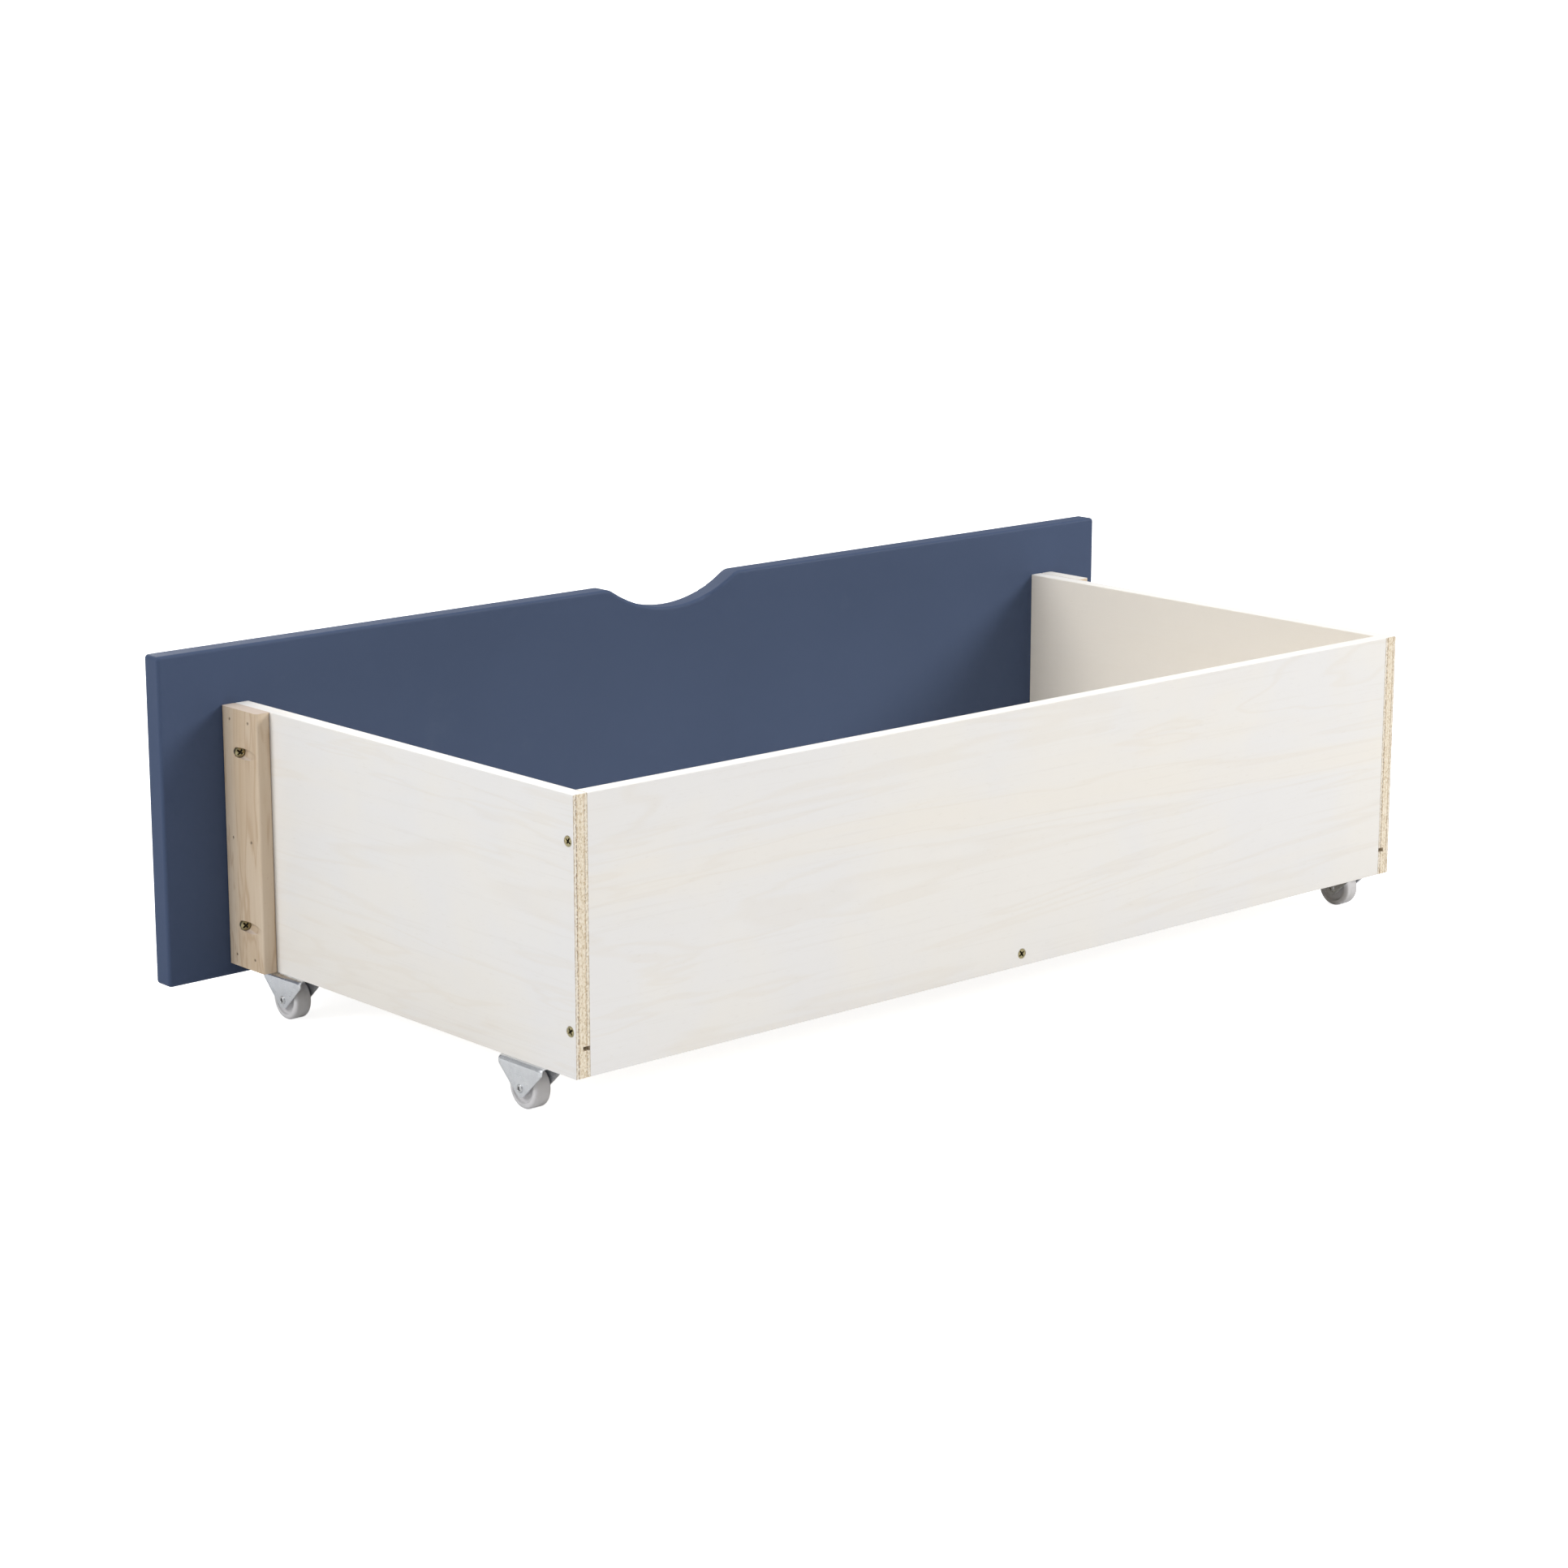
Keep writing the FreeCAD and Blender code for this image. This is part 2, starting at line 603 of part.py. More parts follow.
def make_bracket(name, middle):
    """Folded sheet bracket: two pointed ears under a flat top, drilled for two screws."""
    body = new_body("bracket_%s_blank" % name)
    profile = new_sketch(body, "bracket_%s_profile" % name, "XZ_Plane")
    outer = "bracket_width / 2"
    inner = "bracket_width / 2 - bracket_sheet"
    under = "axle_drop - bracket_sheet"
    point = "axle_drop - ear_point"
    polygon(profile, [
        ("-(%s)" % outer, point), ("-(%s)" % inner, point), ("-(%s)" % inner, under),
        (inner, under), (inner, point), (outer, point),
        (outer, "axle_drop"), ("-(%s)" % outer, "axle_drop")])
    pad(body, "bracket_%s_strip" % name, profile, "bracket_length", middle=True)
    wide = size("bracket_width") / 2
    thin = size("bracket_sheet")
    roof = size("axle_drop")

    def outer_fold(edge):
        spot = edge.CenterOfMass
        on_fold = abs(spot.z - roof) < 1e-4 and abs(abs(spot.x) - wide) < 1e-4
        return runs_along(edge, V(0, 1, 0)) and on_fold

    def inner_fold(edge):
        spot = edge.CenterOfMass
        on_fold = abs(spot.z - roof + thin) < 1e-4 and abs(abs(spot.x) - wide + thin) < 1e-4
        return runs_along(edge, V(0, 1, 0)) and on_fold

    eased(body, "bracket_%s_outer_folds" % name, "bracket_fold", outer_fold)
    eased(body, "bracket_%s_inner_folds" % name, "bracket_fold - bracket_sheet", inner_fold)
    for side, mark in (("a", "-"), ("b", "")):
        corner = new_sketch(body, "bracket_%s_corner_%s" % (name, side), "YZ_Plane")
        end = mark + "(bracket_length / 2)"
        beyond = mark + "(bracket_length / 2 + 4)"
        polygon(corner, [(end, "axle_drop - ear_shoulder"), ("0", point),
                         (end, point), (beyond, point),
                         (beyond, "axle_drop - ear_shoulder")])
        pocket(body, "bracket_%s_trim_%s" % (name, side), corner,
               "bracket_width * 2", middle=True)
    tip = size("axle_drop") - size("ear_point")

    def ear_tip(edge):
        spot = edge.CenterOfMass
        return runs_along(edge, V(1, 0, 0)) and abs(spot.z - tip) < 1e-4

    def ear_end(edge):
        spot = edge.CenterOfMass
        at_end = abs(spot.z - roof + size("ear_shoulder")) < 1e-4
        return runs_along(edge, V(1, 0, 0)) and at_end

    eased(body, "bracket_%s_tips" % name, "ear_round", ear_tip)
    eased(body, "bracket_%s_ends" % name, "bracket_sheet", ear_end)
    place(body, middle)
    tools = [bore("bracket_%s_axle_hole" % name, "axle_diameter / 2", "bracket_width * 2",
                  (middle[0] + " - bracket_width", middle[1], middle[2]), V(1, 0, 0))]
    for which, step in (("a", " - caster_screw_reach"), ("b", " + caster_screw_reach")):
        spot = (middle[0], middle[1] + step, "box_base - bracket_sheet * 2")
        tools.append(bore("bracket_%s_hole_%s" % (name, which),
                          "(shank_diameter + hole_gap) / 2 + 0.1", "bracket_sheet * 4",
                          spot, V(0, 0, 1)))
    return cut("caster_bracket_" + name, body, tools)


def make_wheel(name, middle):
    """Moulded wheel: crowned tread, dished web and a hub that stands proud."""
    body = new_body("caster_wheel_" + name)
    profile = new_sketch(body, "wheel_%s_profile" % name, "XZ_Plane")
    bore_edge = "axle_diameter / 2 + axle_gap"
    hub = "hub_diameter / 2"
    web = "wheel_width / 2 - dish_depth"
    rim = "wheel_diameter / 2 - rim_wall"
    tread = "wheel_diameter / 2"
    face = "wheel_width / 2"
    polygon(profile, [
        (bore_edge, "-hub_width / 2"), (hub, "-hub_width / 2"), (hub, "-(%s)" % web),
        (rim, "-(%s)" % web), (rim, "-(%s)" % face), (tread, "-(%s)" % face),
        (tread, face), (rim, face), (rim, web), (hub, web), (hub, "hub_width / 2"),
        (bore_edge, "hub_width / 2")])
    turned(body, "wheel_%s_turn" % name, profile)
    limit = size("wheel_diameter") / 2

    def tread_edge(edge):
        curve = edge.Curve
        return curve.TypeId == "Part::GeomCircle" and abs(curve.Radius - limit) < 1e-4

    def rim_edge(edge):
        curve = edge.Curve
        inside = limit - size("rim_wall")
        return curve.TypeId == "Part::GeomCircle" and abs(curve.Radius - inside) < 1e-4

    eased(body, "wheel_%s_tread" % name, "tread_round", tread_edge)
    eased(body, "wheel_%s_rim" % name, "0.8", rim_edge)
    return place(body, middle, FreeCAD.Rotation(V(0, 0, 1), V(1, 0, 0)))


def make_axle(name, middle):
    """Axle rivet: plain shank, formed heads outside the ears, hollow ends."""
    body = new_body("caster_axle_" + name)
    profile = new_sketch(body, "axle_%s_profile" % name, "XZ_Plane")
    seat = "bracket_width / 2"
    crown = "bracket_width / 2 + rivet_height"
    hollow = "rivet_hole / 2"
    well = "bracket_width / 2 - 2"
    shank = "axle_diameter / 2"
    lip = "rivet_head / 2"
    ledge = "bracket_width / 2 + rivet_height * 0.4"
    brow = "rivet_head / 2 - 0.8"
    half = [("0", well), (hollow, well), (hollow, crown), (brow, crown),
            (lip, ledge), (lip, seat), (shank, seat)]
    mirrored = [(across, "-(%s)" % up) for across, up in reversed(half)]
    polygon(profile, half + mirrored)
    turned(body, "axle_%s_turn" % name, profile)
    return place(body, middle, FreeCAD.Rotation(V(0, 0, 1), V(1, 0, 0)))


# ------------------------------------------------------------------ assembly

NODES = [make_front()]
for hand, sign in HANDS:
    NODES.append(make_side(hand, sign))
    NODES.append(make_cleat(hand, sign))
NODES.append(make_back())
NODES.append(make_board())
NODES.append(make_rail())

NODES.append(group("panel_screws", [
    aimed(sunk_screw("panel_screw_" + name), at, direction)
    for name, at, direction in PANEL_SCREWS]))
NODES.append(group("pocket_screws", [
    aimed(pan_screw("pocket_screw_" + name, "pan_head", "pan_height",
                    "pocket_screw_length", 4.0), at, direction)
    for name, at, direction in POCKETS]))
NODES.append(group("cleat_brads", [
    aimed(brad("brad_" + name), at, direction) for name, at, direction in BRADS]))

dowel = bore("rail_dowel", "dowel_diameter / 2", "dowel_length",
             ("0", "front_back - dowel_in_front", "box_base + groove_height / 2"),
             V(0, 1, 0))
NODES.append(dowel)

caster_screws = []
for name, middle in CASTERS:
    NODES.append(make_bracket(name, middle))
    NODES.append(make_axle(name, middle))
    NODES.append(make_wheel(name, middle))
    for which, step in (("a", " - caster_screw_reach"), ("b", " + caster_screw_reach")):
        screw = pan_screw("caster_screw_%s_%s" % (name, which), "caster_head",
                          "caster_head_height", "caster_screw_length", 3.4)
        spot = (middle[0], middle[1] + step, "box_base - bracket_sheet")
        caster_screws.append(aimed(screw, spot, V(0, 0, 1)))
NODES.append(group("caster_screws", caster_screws))

DOC.recompute()

for thing in DOC.Objects:
    if "Invalid" in thing.State or "Error" in thing.State:
        raise RuntimeError("%s is %s" % (thing.Name, thing.State))
for node in NODES:
    node.Label = node.Name
    if node.Shape.isNull() or not node.Shape.isValid():
        raise RuntimeError(node.Name + " has no valid shape")

os.makedirs("parts", exist_ok=True)
for node in NODES:
    node.Shape.exportStep("parts/%s.step" % node.Label)
    print(node.Label, len(node.Shape.Solids), round(node.Shape.Volume, 1))
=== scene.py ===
"""Looks of a rolling under-bed drawer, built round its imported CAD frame.

The wooden panels keep their CAD meshes and are finished here.  The turned and folded metal
parts and the moulded wheels are new surfaces worked out with numpy: each is a profile carried
round an axis or along a fold.  Everything is in metres, with the floor at z = 0.
"""
from __future__ import annotations

import json
import logging
import math
from dataclasses import dataclass, field
from enum import Enum
from typing import ClassVar, Iterable, Sequence

import bmesh
import bpy
import numpy as np
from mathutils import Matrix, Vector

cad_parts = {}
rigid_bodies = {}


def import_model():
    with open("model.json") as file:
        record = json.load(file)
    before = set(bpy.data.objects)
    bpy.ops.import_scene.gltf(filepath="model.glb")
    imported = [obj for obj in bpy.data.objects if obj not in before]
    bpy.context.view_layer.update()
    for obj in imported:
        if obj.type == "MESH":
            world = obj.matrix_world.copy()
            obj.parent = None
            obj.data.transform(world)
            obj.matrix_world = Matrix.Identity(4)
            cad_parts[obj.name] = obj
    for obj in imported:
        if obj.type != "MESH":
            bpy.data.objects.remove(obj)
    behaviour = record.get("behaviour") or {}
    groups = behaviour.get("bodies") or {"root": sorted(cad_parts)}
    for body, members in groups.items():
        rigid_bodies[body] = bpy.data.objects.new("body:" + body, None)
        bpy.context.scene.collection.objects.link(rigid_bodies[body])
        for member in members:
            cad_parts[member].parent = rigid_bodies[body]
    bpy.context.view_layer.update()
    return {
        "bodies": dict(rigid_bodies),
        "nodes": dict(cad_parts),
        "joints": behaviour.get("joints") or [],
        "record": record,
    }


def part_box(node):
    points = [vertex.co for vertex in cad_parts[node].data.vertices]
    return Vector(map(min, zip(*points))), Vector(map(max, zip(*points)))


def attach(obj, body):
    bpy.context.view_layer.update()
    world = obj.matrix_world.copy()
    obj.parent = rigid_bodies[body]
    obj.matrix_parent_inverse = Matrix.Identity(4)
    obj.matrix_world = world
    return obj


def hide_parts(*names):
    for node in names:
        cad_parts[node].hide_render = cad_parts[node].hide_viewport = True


LOG = logging.getLogger("under_bed_drawer")
MM = 0.001
Array = np.ndarray
Material = bpy.types.Material
Node = bpy.types.Node
Piece = bpy.types.Object
Socket = bpy.types.NodeSocket
Tree = bpy.types.NodeTree
Value = "Socket | float | Sequence[float]"
Colour = tuple[float, float, float]


class Axis(Enum):
    """A direction of the drawer, as the number of its coordinate."""

    ACROSS = 0
    ALONG = 1
    UP = 2


class Hand(Enum):
    """A side of the drawer, with the sign of its X."""

    LEFT = -1
    RIGHT = 1

    @property
    def label(self) -> str:
        """The word that node names use for this hand."""
        return self.name.lower()


class End(Enum):
    """The front or rear pair of casters."""

    FRONT = "front"
    REAR = "rear"


# ---- wiring


class Wires:
    """Adds nodes to one shader tree and joins them."""

    def __init__(self, tree: Tree) -> None:
        """Take hold of a tree.

        Args:
            tree: The material's or the group's node tree.
        """
        self.tree = tree

    def put(self, value: Value, into: Socket) -> None:
        """Link a socket, or set a plain value.

        Args:
            value: A socket to link from, or the number, vector or colour to set.
            into: The input socket.
        """
        if isinstance(value, Socket):
            self.tree.links.new(value, into)
        elif isinstance(value, (tuple, list)) and into.type == "RGBA" and len(value) == 3:
            into.default_value = (*value, 1.0)
        else:
            into.default_value = value

    def add(self, kind: str, inputs: dict[str | int, Value] | None = None,
            **settings: object) -> Node:
        """Add a node.

        Args:
            kind: The node's type name.
            inputs: Values or sockets by input name or number.
            **settings: Plain attributes of the node.

        Returns:
            The new node.
        """
        node = self.tree.nodes.new(kind)
        for name, setting in settings.items():
            setattr(node, name, setting)
        for name, value in (inputs or {}).items():
            self.put(value, node.inputs[name])
        return node

    def maths(self, operation: str, first: Value, second: Value = 0.0,
              third: Value = 0.0, clamp: bool = False) -> Socket:
        """Add a Math node.

        Args:
            operation: The node's operation.
            first: First operand.
            second: Second operand.
            third: Third operand, which few operations read.
            clamp: Whether the result is kept between 0 and 1.

        Returns:
            The result's socket.
        """
        node = self.add("ShaderNodeMath", operation=operation, use_clamp=clamp)
        for number, value in enumerate((first, second, third)):
            self.put(value, node.inputs[number])
        return node.outputs[0]

    def times(self, first: Value, second: Value) -> Socket:
        """Multiply two values."""
        return self.maths("MULTIPLY", first, second)

    def span(self, value: Value, low: float, high: float, start: float = 0.0,
             stop: float = 1.0) -> Socket:
        """Map a range onto another, smoothly and clamped.

        Args:
            value: What is mapped.
            low: Where the range starts.
            high: Where the range stops.
            start: What low becomes.
            stop: What high becomes.

        Returns:
            The mapped value's socket.
        """
        node = self.add("ShaderNodeMapRange", {
            "Value": value, "From Min": low, "From Max": high, "To Min": start,
            "To Max": stop}, interpolation_type="SMOOTHSTEP", clamp=True)
        return node.outputs["Result"]

    def blend(self, share: Value, first: Value, second: Value) -> Socket:
        """Blend two colours.

        Args:
            share: How much of the second colour shows.
            first: The colour at 0.
            second: The colour at 1.

        Returns:
            The blended colour's socket.
        """
        node = self.add("ShaderNodeMix", data_type="RGBA")
        for number, value in ((0, share), (6, first), (7, second)):
            self.put(value, node.inputs[number])
        return node.outputs[2]

    def coats(self, base: Value, coats: Iterable[tuple[Value, Value]]) -> Socket:
        """Lay colours over a base, one after another.

        Args:
            base: The colour underneath.
            coats: How much of each colour shows, and the colour.

        Returns:
            The last colour's socket.
        """
        for share, colour in coats:
            base = self.blend(share, base, colour)
        return base

    def noise(self, vector: Value, scale: Value, detail: float = 3.0,
              rough: float = 0.55, warp: float = 0.0) -> Socket:
        """Add a noise texture.

        Args:
            vector: The coordinates.
            scale: Cells per metre.
            detail: Octaves.
            rough: How strong the finer octaves are.
            warp: How far the pattern distorts itself.

        Returns:
            The texture's value from 0 to 1.
        """
        node = self.add("ShaderNodeTexNoise", {
            "Vector": vector, "Scale": scale, "Detail": detail, "Roughness": rough,
            "Distortion": warp})
        return node.outputs["Fac"]

    def stretch(self, vector: Value, scale: Sequence[float],
                turn: Sequence[float] = (0.0, 0.0, 0.0)) -> Socket:
        """Scale and turn coordinates.

        Args:
            vector: The coordinates.
            scale: Factors along X, Y and Z.
            turn: Angles about X, Y and Z in radians.

        Returns:
            The mapped vector's socket.
        """
        node = self.add("ShaderNodeMapping", {
            "Vector": vector, "Scale": tuple(scale), "Rotation": tuple(turn)})
        return node.outputs[0]


class Canvas(Wires):
    """A new material's tree, with its shader and the object's coordinates and normal."""

    def __init__(self, name: str) -> None:
        """Make the material.

        Args:
            name: The material's name.
        """
        self.made = bpy.data.materials.new(name)
        self.made.use_nodes = True
        self.made.node_tree.nodes.clear()
        super().__init__(self.made.node_tree)
        self.shader = self.add("ShaderNodeBsdfPrincipled")
        target = self.add("ShaderNodeOutputMaterial")
        self.put(self.shader.outputs[0], target.inputs["Surface"])
        places = self.add("ShaderNodeTexCoord").outputs
        self.place, self.normal = places["Object"], places["Normal"]

    def give(self, name: str, value: Value) -> None:
        """Set or link one of the shader's inputs."""
        self.put(value, self.shader.inputs[name])

    def grime(self) -> Socket:
        """Read the painted shade of each point of the mesh, from 0 to 1, that darkens its
        recesses and holes.
        """
        return self.add("ShaderNodeAttribute", attribute_name="grime").outputs["Fac"]

    def group(self, tree: Tree, inputs: dict[str, Value]) -> bpy.types.NodeOutputs:
        """Place one of the shared groups.

        Args:
            tree: The group.
            inputs: Its values by name.

        Returns:
            The outputs of the group's node.
        """
        node = self.add("ShaderNodeGroup", node_tree=tree)
        for name, value in inputs.items():
            self.put(value, node.inputs[name])
        return node.outputs

    def relief(self, height: Socket, strength: float, distance: float) -> None:
        """Give the shader a bump.

        Args:
            height: The relief from 0 to 1.
            strength: How much of the bump is used.
            distance: How deep the relief is, in metres.
        """
        bump = self.add("ShaderNodeBump", {
            "Height": height, "Strength": strength, "Distance": distance})
        self.give("Normal", bump.outputs[0])


class GroupBook:
    """The shader node groups that several finishes share, each built once."""

    veneers: ClassVar[tuple[tuple[float, Colour], ...]] = (
        (0.0, (0.36, 0.26, 0.17)), (0.06, (0.74, 0.67, 0.55)), (0.16, (0.78, 0.71, 0.59)),
        (0.24, (0.62, 0.50, 0.35)), (0.36, (0.79, 0.71, 0.57)), (0.50, (0.72, 0.62, 0.47)),
        (0.64, (0.79, 0.71, 0.57)), (0.76, (0.62, 0.50, 0.35)), (0.84, (0.78, 0.71, 0.60)),
        (0.94, (0.74, 0.68, 0.58)), (1.0, (0.33, 0.25, 0.18)))
    crumb_tone: ClassVar[Colour] = (0.38, 0.25, 0.11)
    chip_tone: ClassVar[Colour] = (0.92, 0.88, 0.80)
    glue_tone: ClassVar[Colour] = (0.14, 0.09, 0.06)

    def __init__(self) -> None:
        """Build every group."""
        self.figure = self._wood_figure()
        self.faces = self._face_masks()
        self.layers = self._ply_layers()
        self.marks = self._handling_marks()

    @staticmethod
    def _open(name: str, takes: dict[str, float | None],
              gives: Sequence[str]) -> tuple[Tree, Wires, dict[str, Socket], Node]:
        """Start a group with its named sockets.

        Args:
            name: The group's name.
            takes: The number inputs' defaults by name, or None for a vector.
            gives: Output names, all of them numbers but Color.

        Returns:
            The group, its wires, its inputs by name and its output node.
        """
        tree = bpy.data.node_groups.new(name, "ShaderNodeTree")
        for label, value in takes.items():
            kind = "NodeSocketVector" if value is None else "NodeSocketFloat"
            made = tree.interface.new_socket(name=label, in_out="INPUT", socket_type=kind)
            if value is not None:
                made.default_value = value
        for label in gives:
            kind = "NodeSocketColor" if label == "Color" else "NodeSocketFloat"
            tree.interface.new_socket(name=label, in_out="OUTPUT", socket_type=kind)
        wires = Wires(tree)
        source = wires.add("NodeGroupInput")
        target = wires.add("NodeGroupOutput")
        return tree, wires, {label: source.outputs[label] for label in takes}, target

    def _wood_figure(self) -> Tree:
        """Figure, fibre and pores of timber whose grain runs along the vector's X.

        Returns:
            The group.
        """
        tree, w, take, give = self._open(
            "WoodFigure", {"Vector": None, "Figure Scale": 14.0, "Fibre Scale": 260.0},
            ("Figure", "Rings", "Fibre", "Pores"))
        long = w.stretch(take["Vector"], (0.10, 1.0, 1.0))
        figure = w.noise(long, take["Figure Scale"], 4.0, 0.58, 0.6)
        rings = w.maths("FRACT", w.times(figure, 9.0))
        peak = w.maths("SUBTRACT", 1.0, w.maths("ABSOLUTE", w.maths(
            "MULTIPLY_ADD", rings, 2.0, -1.0)))
        fibre = w.noise(w.stretch(take["Vector"], (0.022, 1.0, 1.0)), take["Fibre Scale"],
                        3.0, 0.65)
        dots = w.noise(w.stretch(take["Vector"], (0.16, 1.0, 1.0)),
                       w.times(take["Fibre Scale"], 2.6), 1.0, 0.5)
        w.put(figure, give.inputs["Figure"])
        w.put(peak, give.inputs["Rings"])
        w.put(fibre, give.inputs["Fibre"])
        w.put(w.span(dots, 0.66, 0.74), give.inputs["Pores"])
        return tree

    def _face_masks(self) -> Tree:
        """Masks of the faces that look up, down, across and along.

        Returns:
            The group.
        """
        tree, w, take, give = self._open(
            "FaceMasks", {"Normal": None}, ("Top", "Underside", "Across", "Along"))
        part = w.add("ShaderNodeSeparateXYZ", {0: take["Normal"]})
        facing = {"Top": part.outputs[2], "Underside": w.times(part.outputs[2], -1.0),
                  "Across": w.maths("ABSOLUTE", part.outputs[0]),
                  "Along": w.maths("ABSOLUTE", part.outputs[1])}
        for label, share in facing.items():
            w.put(w.span(share, 0.6, 0.8), give.inputs[label])
        return tree

    def _ply_layers(self) -> Tree:
        """Veneers and glue lines of a sawn plywood edge.

        Depth runs from 0 at one face to 1 at the other.  The colour is a ramp of five
        veneers; the glue shows as broken dark lines where coarse noise lets it, and
        sawdust speckle is fine noise over all of it.

        Returns:
            The group.
        """
        tree, w, take, give = self._open(
            "PlyLayers", {"Vector": None, "Depth": 0.5}, ("Color", "Relief"))
        sway = w.noise(take["Vector"], 160.0, 4.0, 0.7)
        depth = w.maths("MULTIPLY_ADD", sway, 0.12, w.maths(
            "SUBTRACT", take["Depth"], 0.06))
        ramp = w.add("ShaderNodeValToRGB", {"Fac": depth})
        elements = ramp.color_ramp.elements
        for number, (place, tint) in enumerate(self.veneers):
            spot = elements[number] if number < 2 else elements.new(place)
            spot.position = place
            spot.color = (*tint, 1.0)
        speck = w.noise(w.stretch(take["Vector"], (1.0, 1.0, 0.55)), 1150.0, 3.0, 0.7)
        crumbs = w.span(speck, 0.54, 0.64)
        chips = w.span(speck, 0.40, 0.47, 1.0, 0.0)
        lines: Socket | float = 0.0
        for place, weight in ((0.20, 0.55), (0.80, 0.95)):
            away = w.maths("ABSOLUTE", w.maths("SUBTRACT", depth, place))
            lines = w.maths("ADD", lines, w.span(away, 0.010, 0.045, weight, 0.0))
        broken = w.span(w.noise(take["Vector"], 700.0, 2.0, 0.6), 0.40, 0.54)
        glue = w.maths("MULTIPLY", lines, broken, clamp=True)
        w.put(w.coats(ramp.outputs[0], (
            (w.times(crumbs, 0.70), self.crumb_tone), (w.times(chips, 0.45), self.chip_tone),
            (w.times(glue, 0.85), self.glue_tone))), give.inputs["Color"])
        w.put(w.maths("SUBTRACT", speck, w.times(glue, 0.6)), give.inputs["Relief"])
        return tree

    def _handling_marks(self) -> Tree:
        """Soft scuffs, dust and an uneven sheen.

        Returns:
            The group.
        """
        tree, w, take, give = self._open(
            "HandlingMarks", {"Vector": None, "Scale": 10.0}, ("Scuffs", "Dust", "Sheen"))
        fine = w.times(take["Scale"], 14.0)
        streak = w.noise(w.stretch(take["Vector"], (1.0, 6.0, 1.0), (0.3, 0.2, 0.6)), fine,
                         2.0, 0.5)
        patch = w.noise(take["Vector"], take["Scale"], 2.0, 0.5)
        w.put(w.times(w.span(streak, 0.66, 0.72), w.span(patch, 0.5, 0.65)),
              give.inputs["Scuffs"])
        w.put(w.noise(take["Vector"], w.times(take["Scale"], 3.0), 5.0, 0.7),
              give.inputs["Dust"])
        w.put(patch, give.inputs["Sheen"])
        return tree


@dataclass(frozen=True)
class Finish:
    """What every finish shares: its name, the groups and its shader's specular level."""

    name: str
    groups: GroupBook
    specular: ClassVar[float] = 0.5

    def build(self) -> Material:
        """Make the material and let the finish wire its shader.

        Returns:
            The material.
        """
        canvas = Canvas(self.name)
        canvas.give("Specular IOR Level", self.specular)
        self.wire(canvas)
        return canvas.made

    def wire(self, w: Canvas) -> None:
        """Wire the finish's own pattern into the shader."""
        raise NotImplementedError


@dataclass(frozen=True)
class SlatePaint(Finish):
    """Sprayed slate-blue paint with a soft satin orange peel."""

    specular: ClassVar[float] = 0.14
    tint: Colour = (0.056, 0.081, 0.148)
    shade: Colour = (0.053, 0.077, 0.141)
    dust: Colour = (0.20, 0.24, 0.30)
    scuff: Colour = (0.22, 0.26, 0.32)

    def wire(self, w: Canvas) -> None:
        """Two near tones under thin dust and scuffs, over peel and faint strokes.

        Args:
            w: The material.
        """
        marks = w.group(self.groups.marks, {"Vector": w.place, "Scale": 5.0})
        w.give("Base Color", w.coats(self.shade, (
            (w.span(marks["Sheen"], 0.3, 0.7), self.tint),
            (w.span(marks["Dust"], 0.58, 0.80, 0.0, 0.04), self.dust),
            (w.times(marks["Scuffs"], 0.02), self.scuff))))
        gloss = w.span(marks["Dust"], 0.3, 0.7, 0.50, 0.60)
        w.give("Roughness", w.maths("MULTIPLY_ADD", marks["Scuffs"], 0.10, gloss))
        peel = w.noise(w.place, 420.0, 2.0, 0.5)
        brushed = w.noise(w.stretch(w.place, (0.05, 1.0, 1.0)), 900.0, 2.0, 0.5)
        w.relief(w.maths("MULTIPLY_ADD", brushed, 0.35, peel), 0.25, 0.00012)


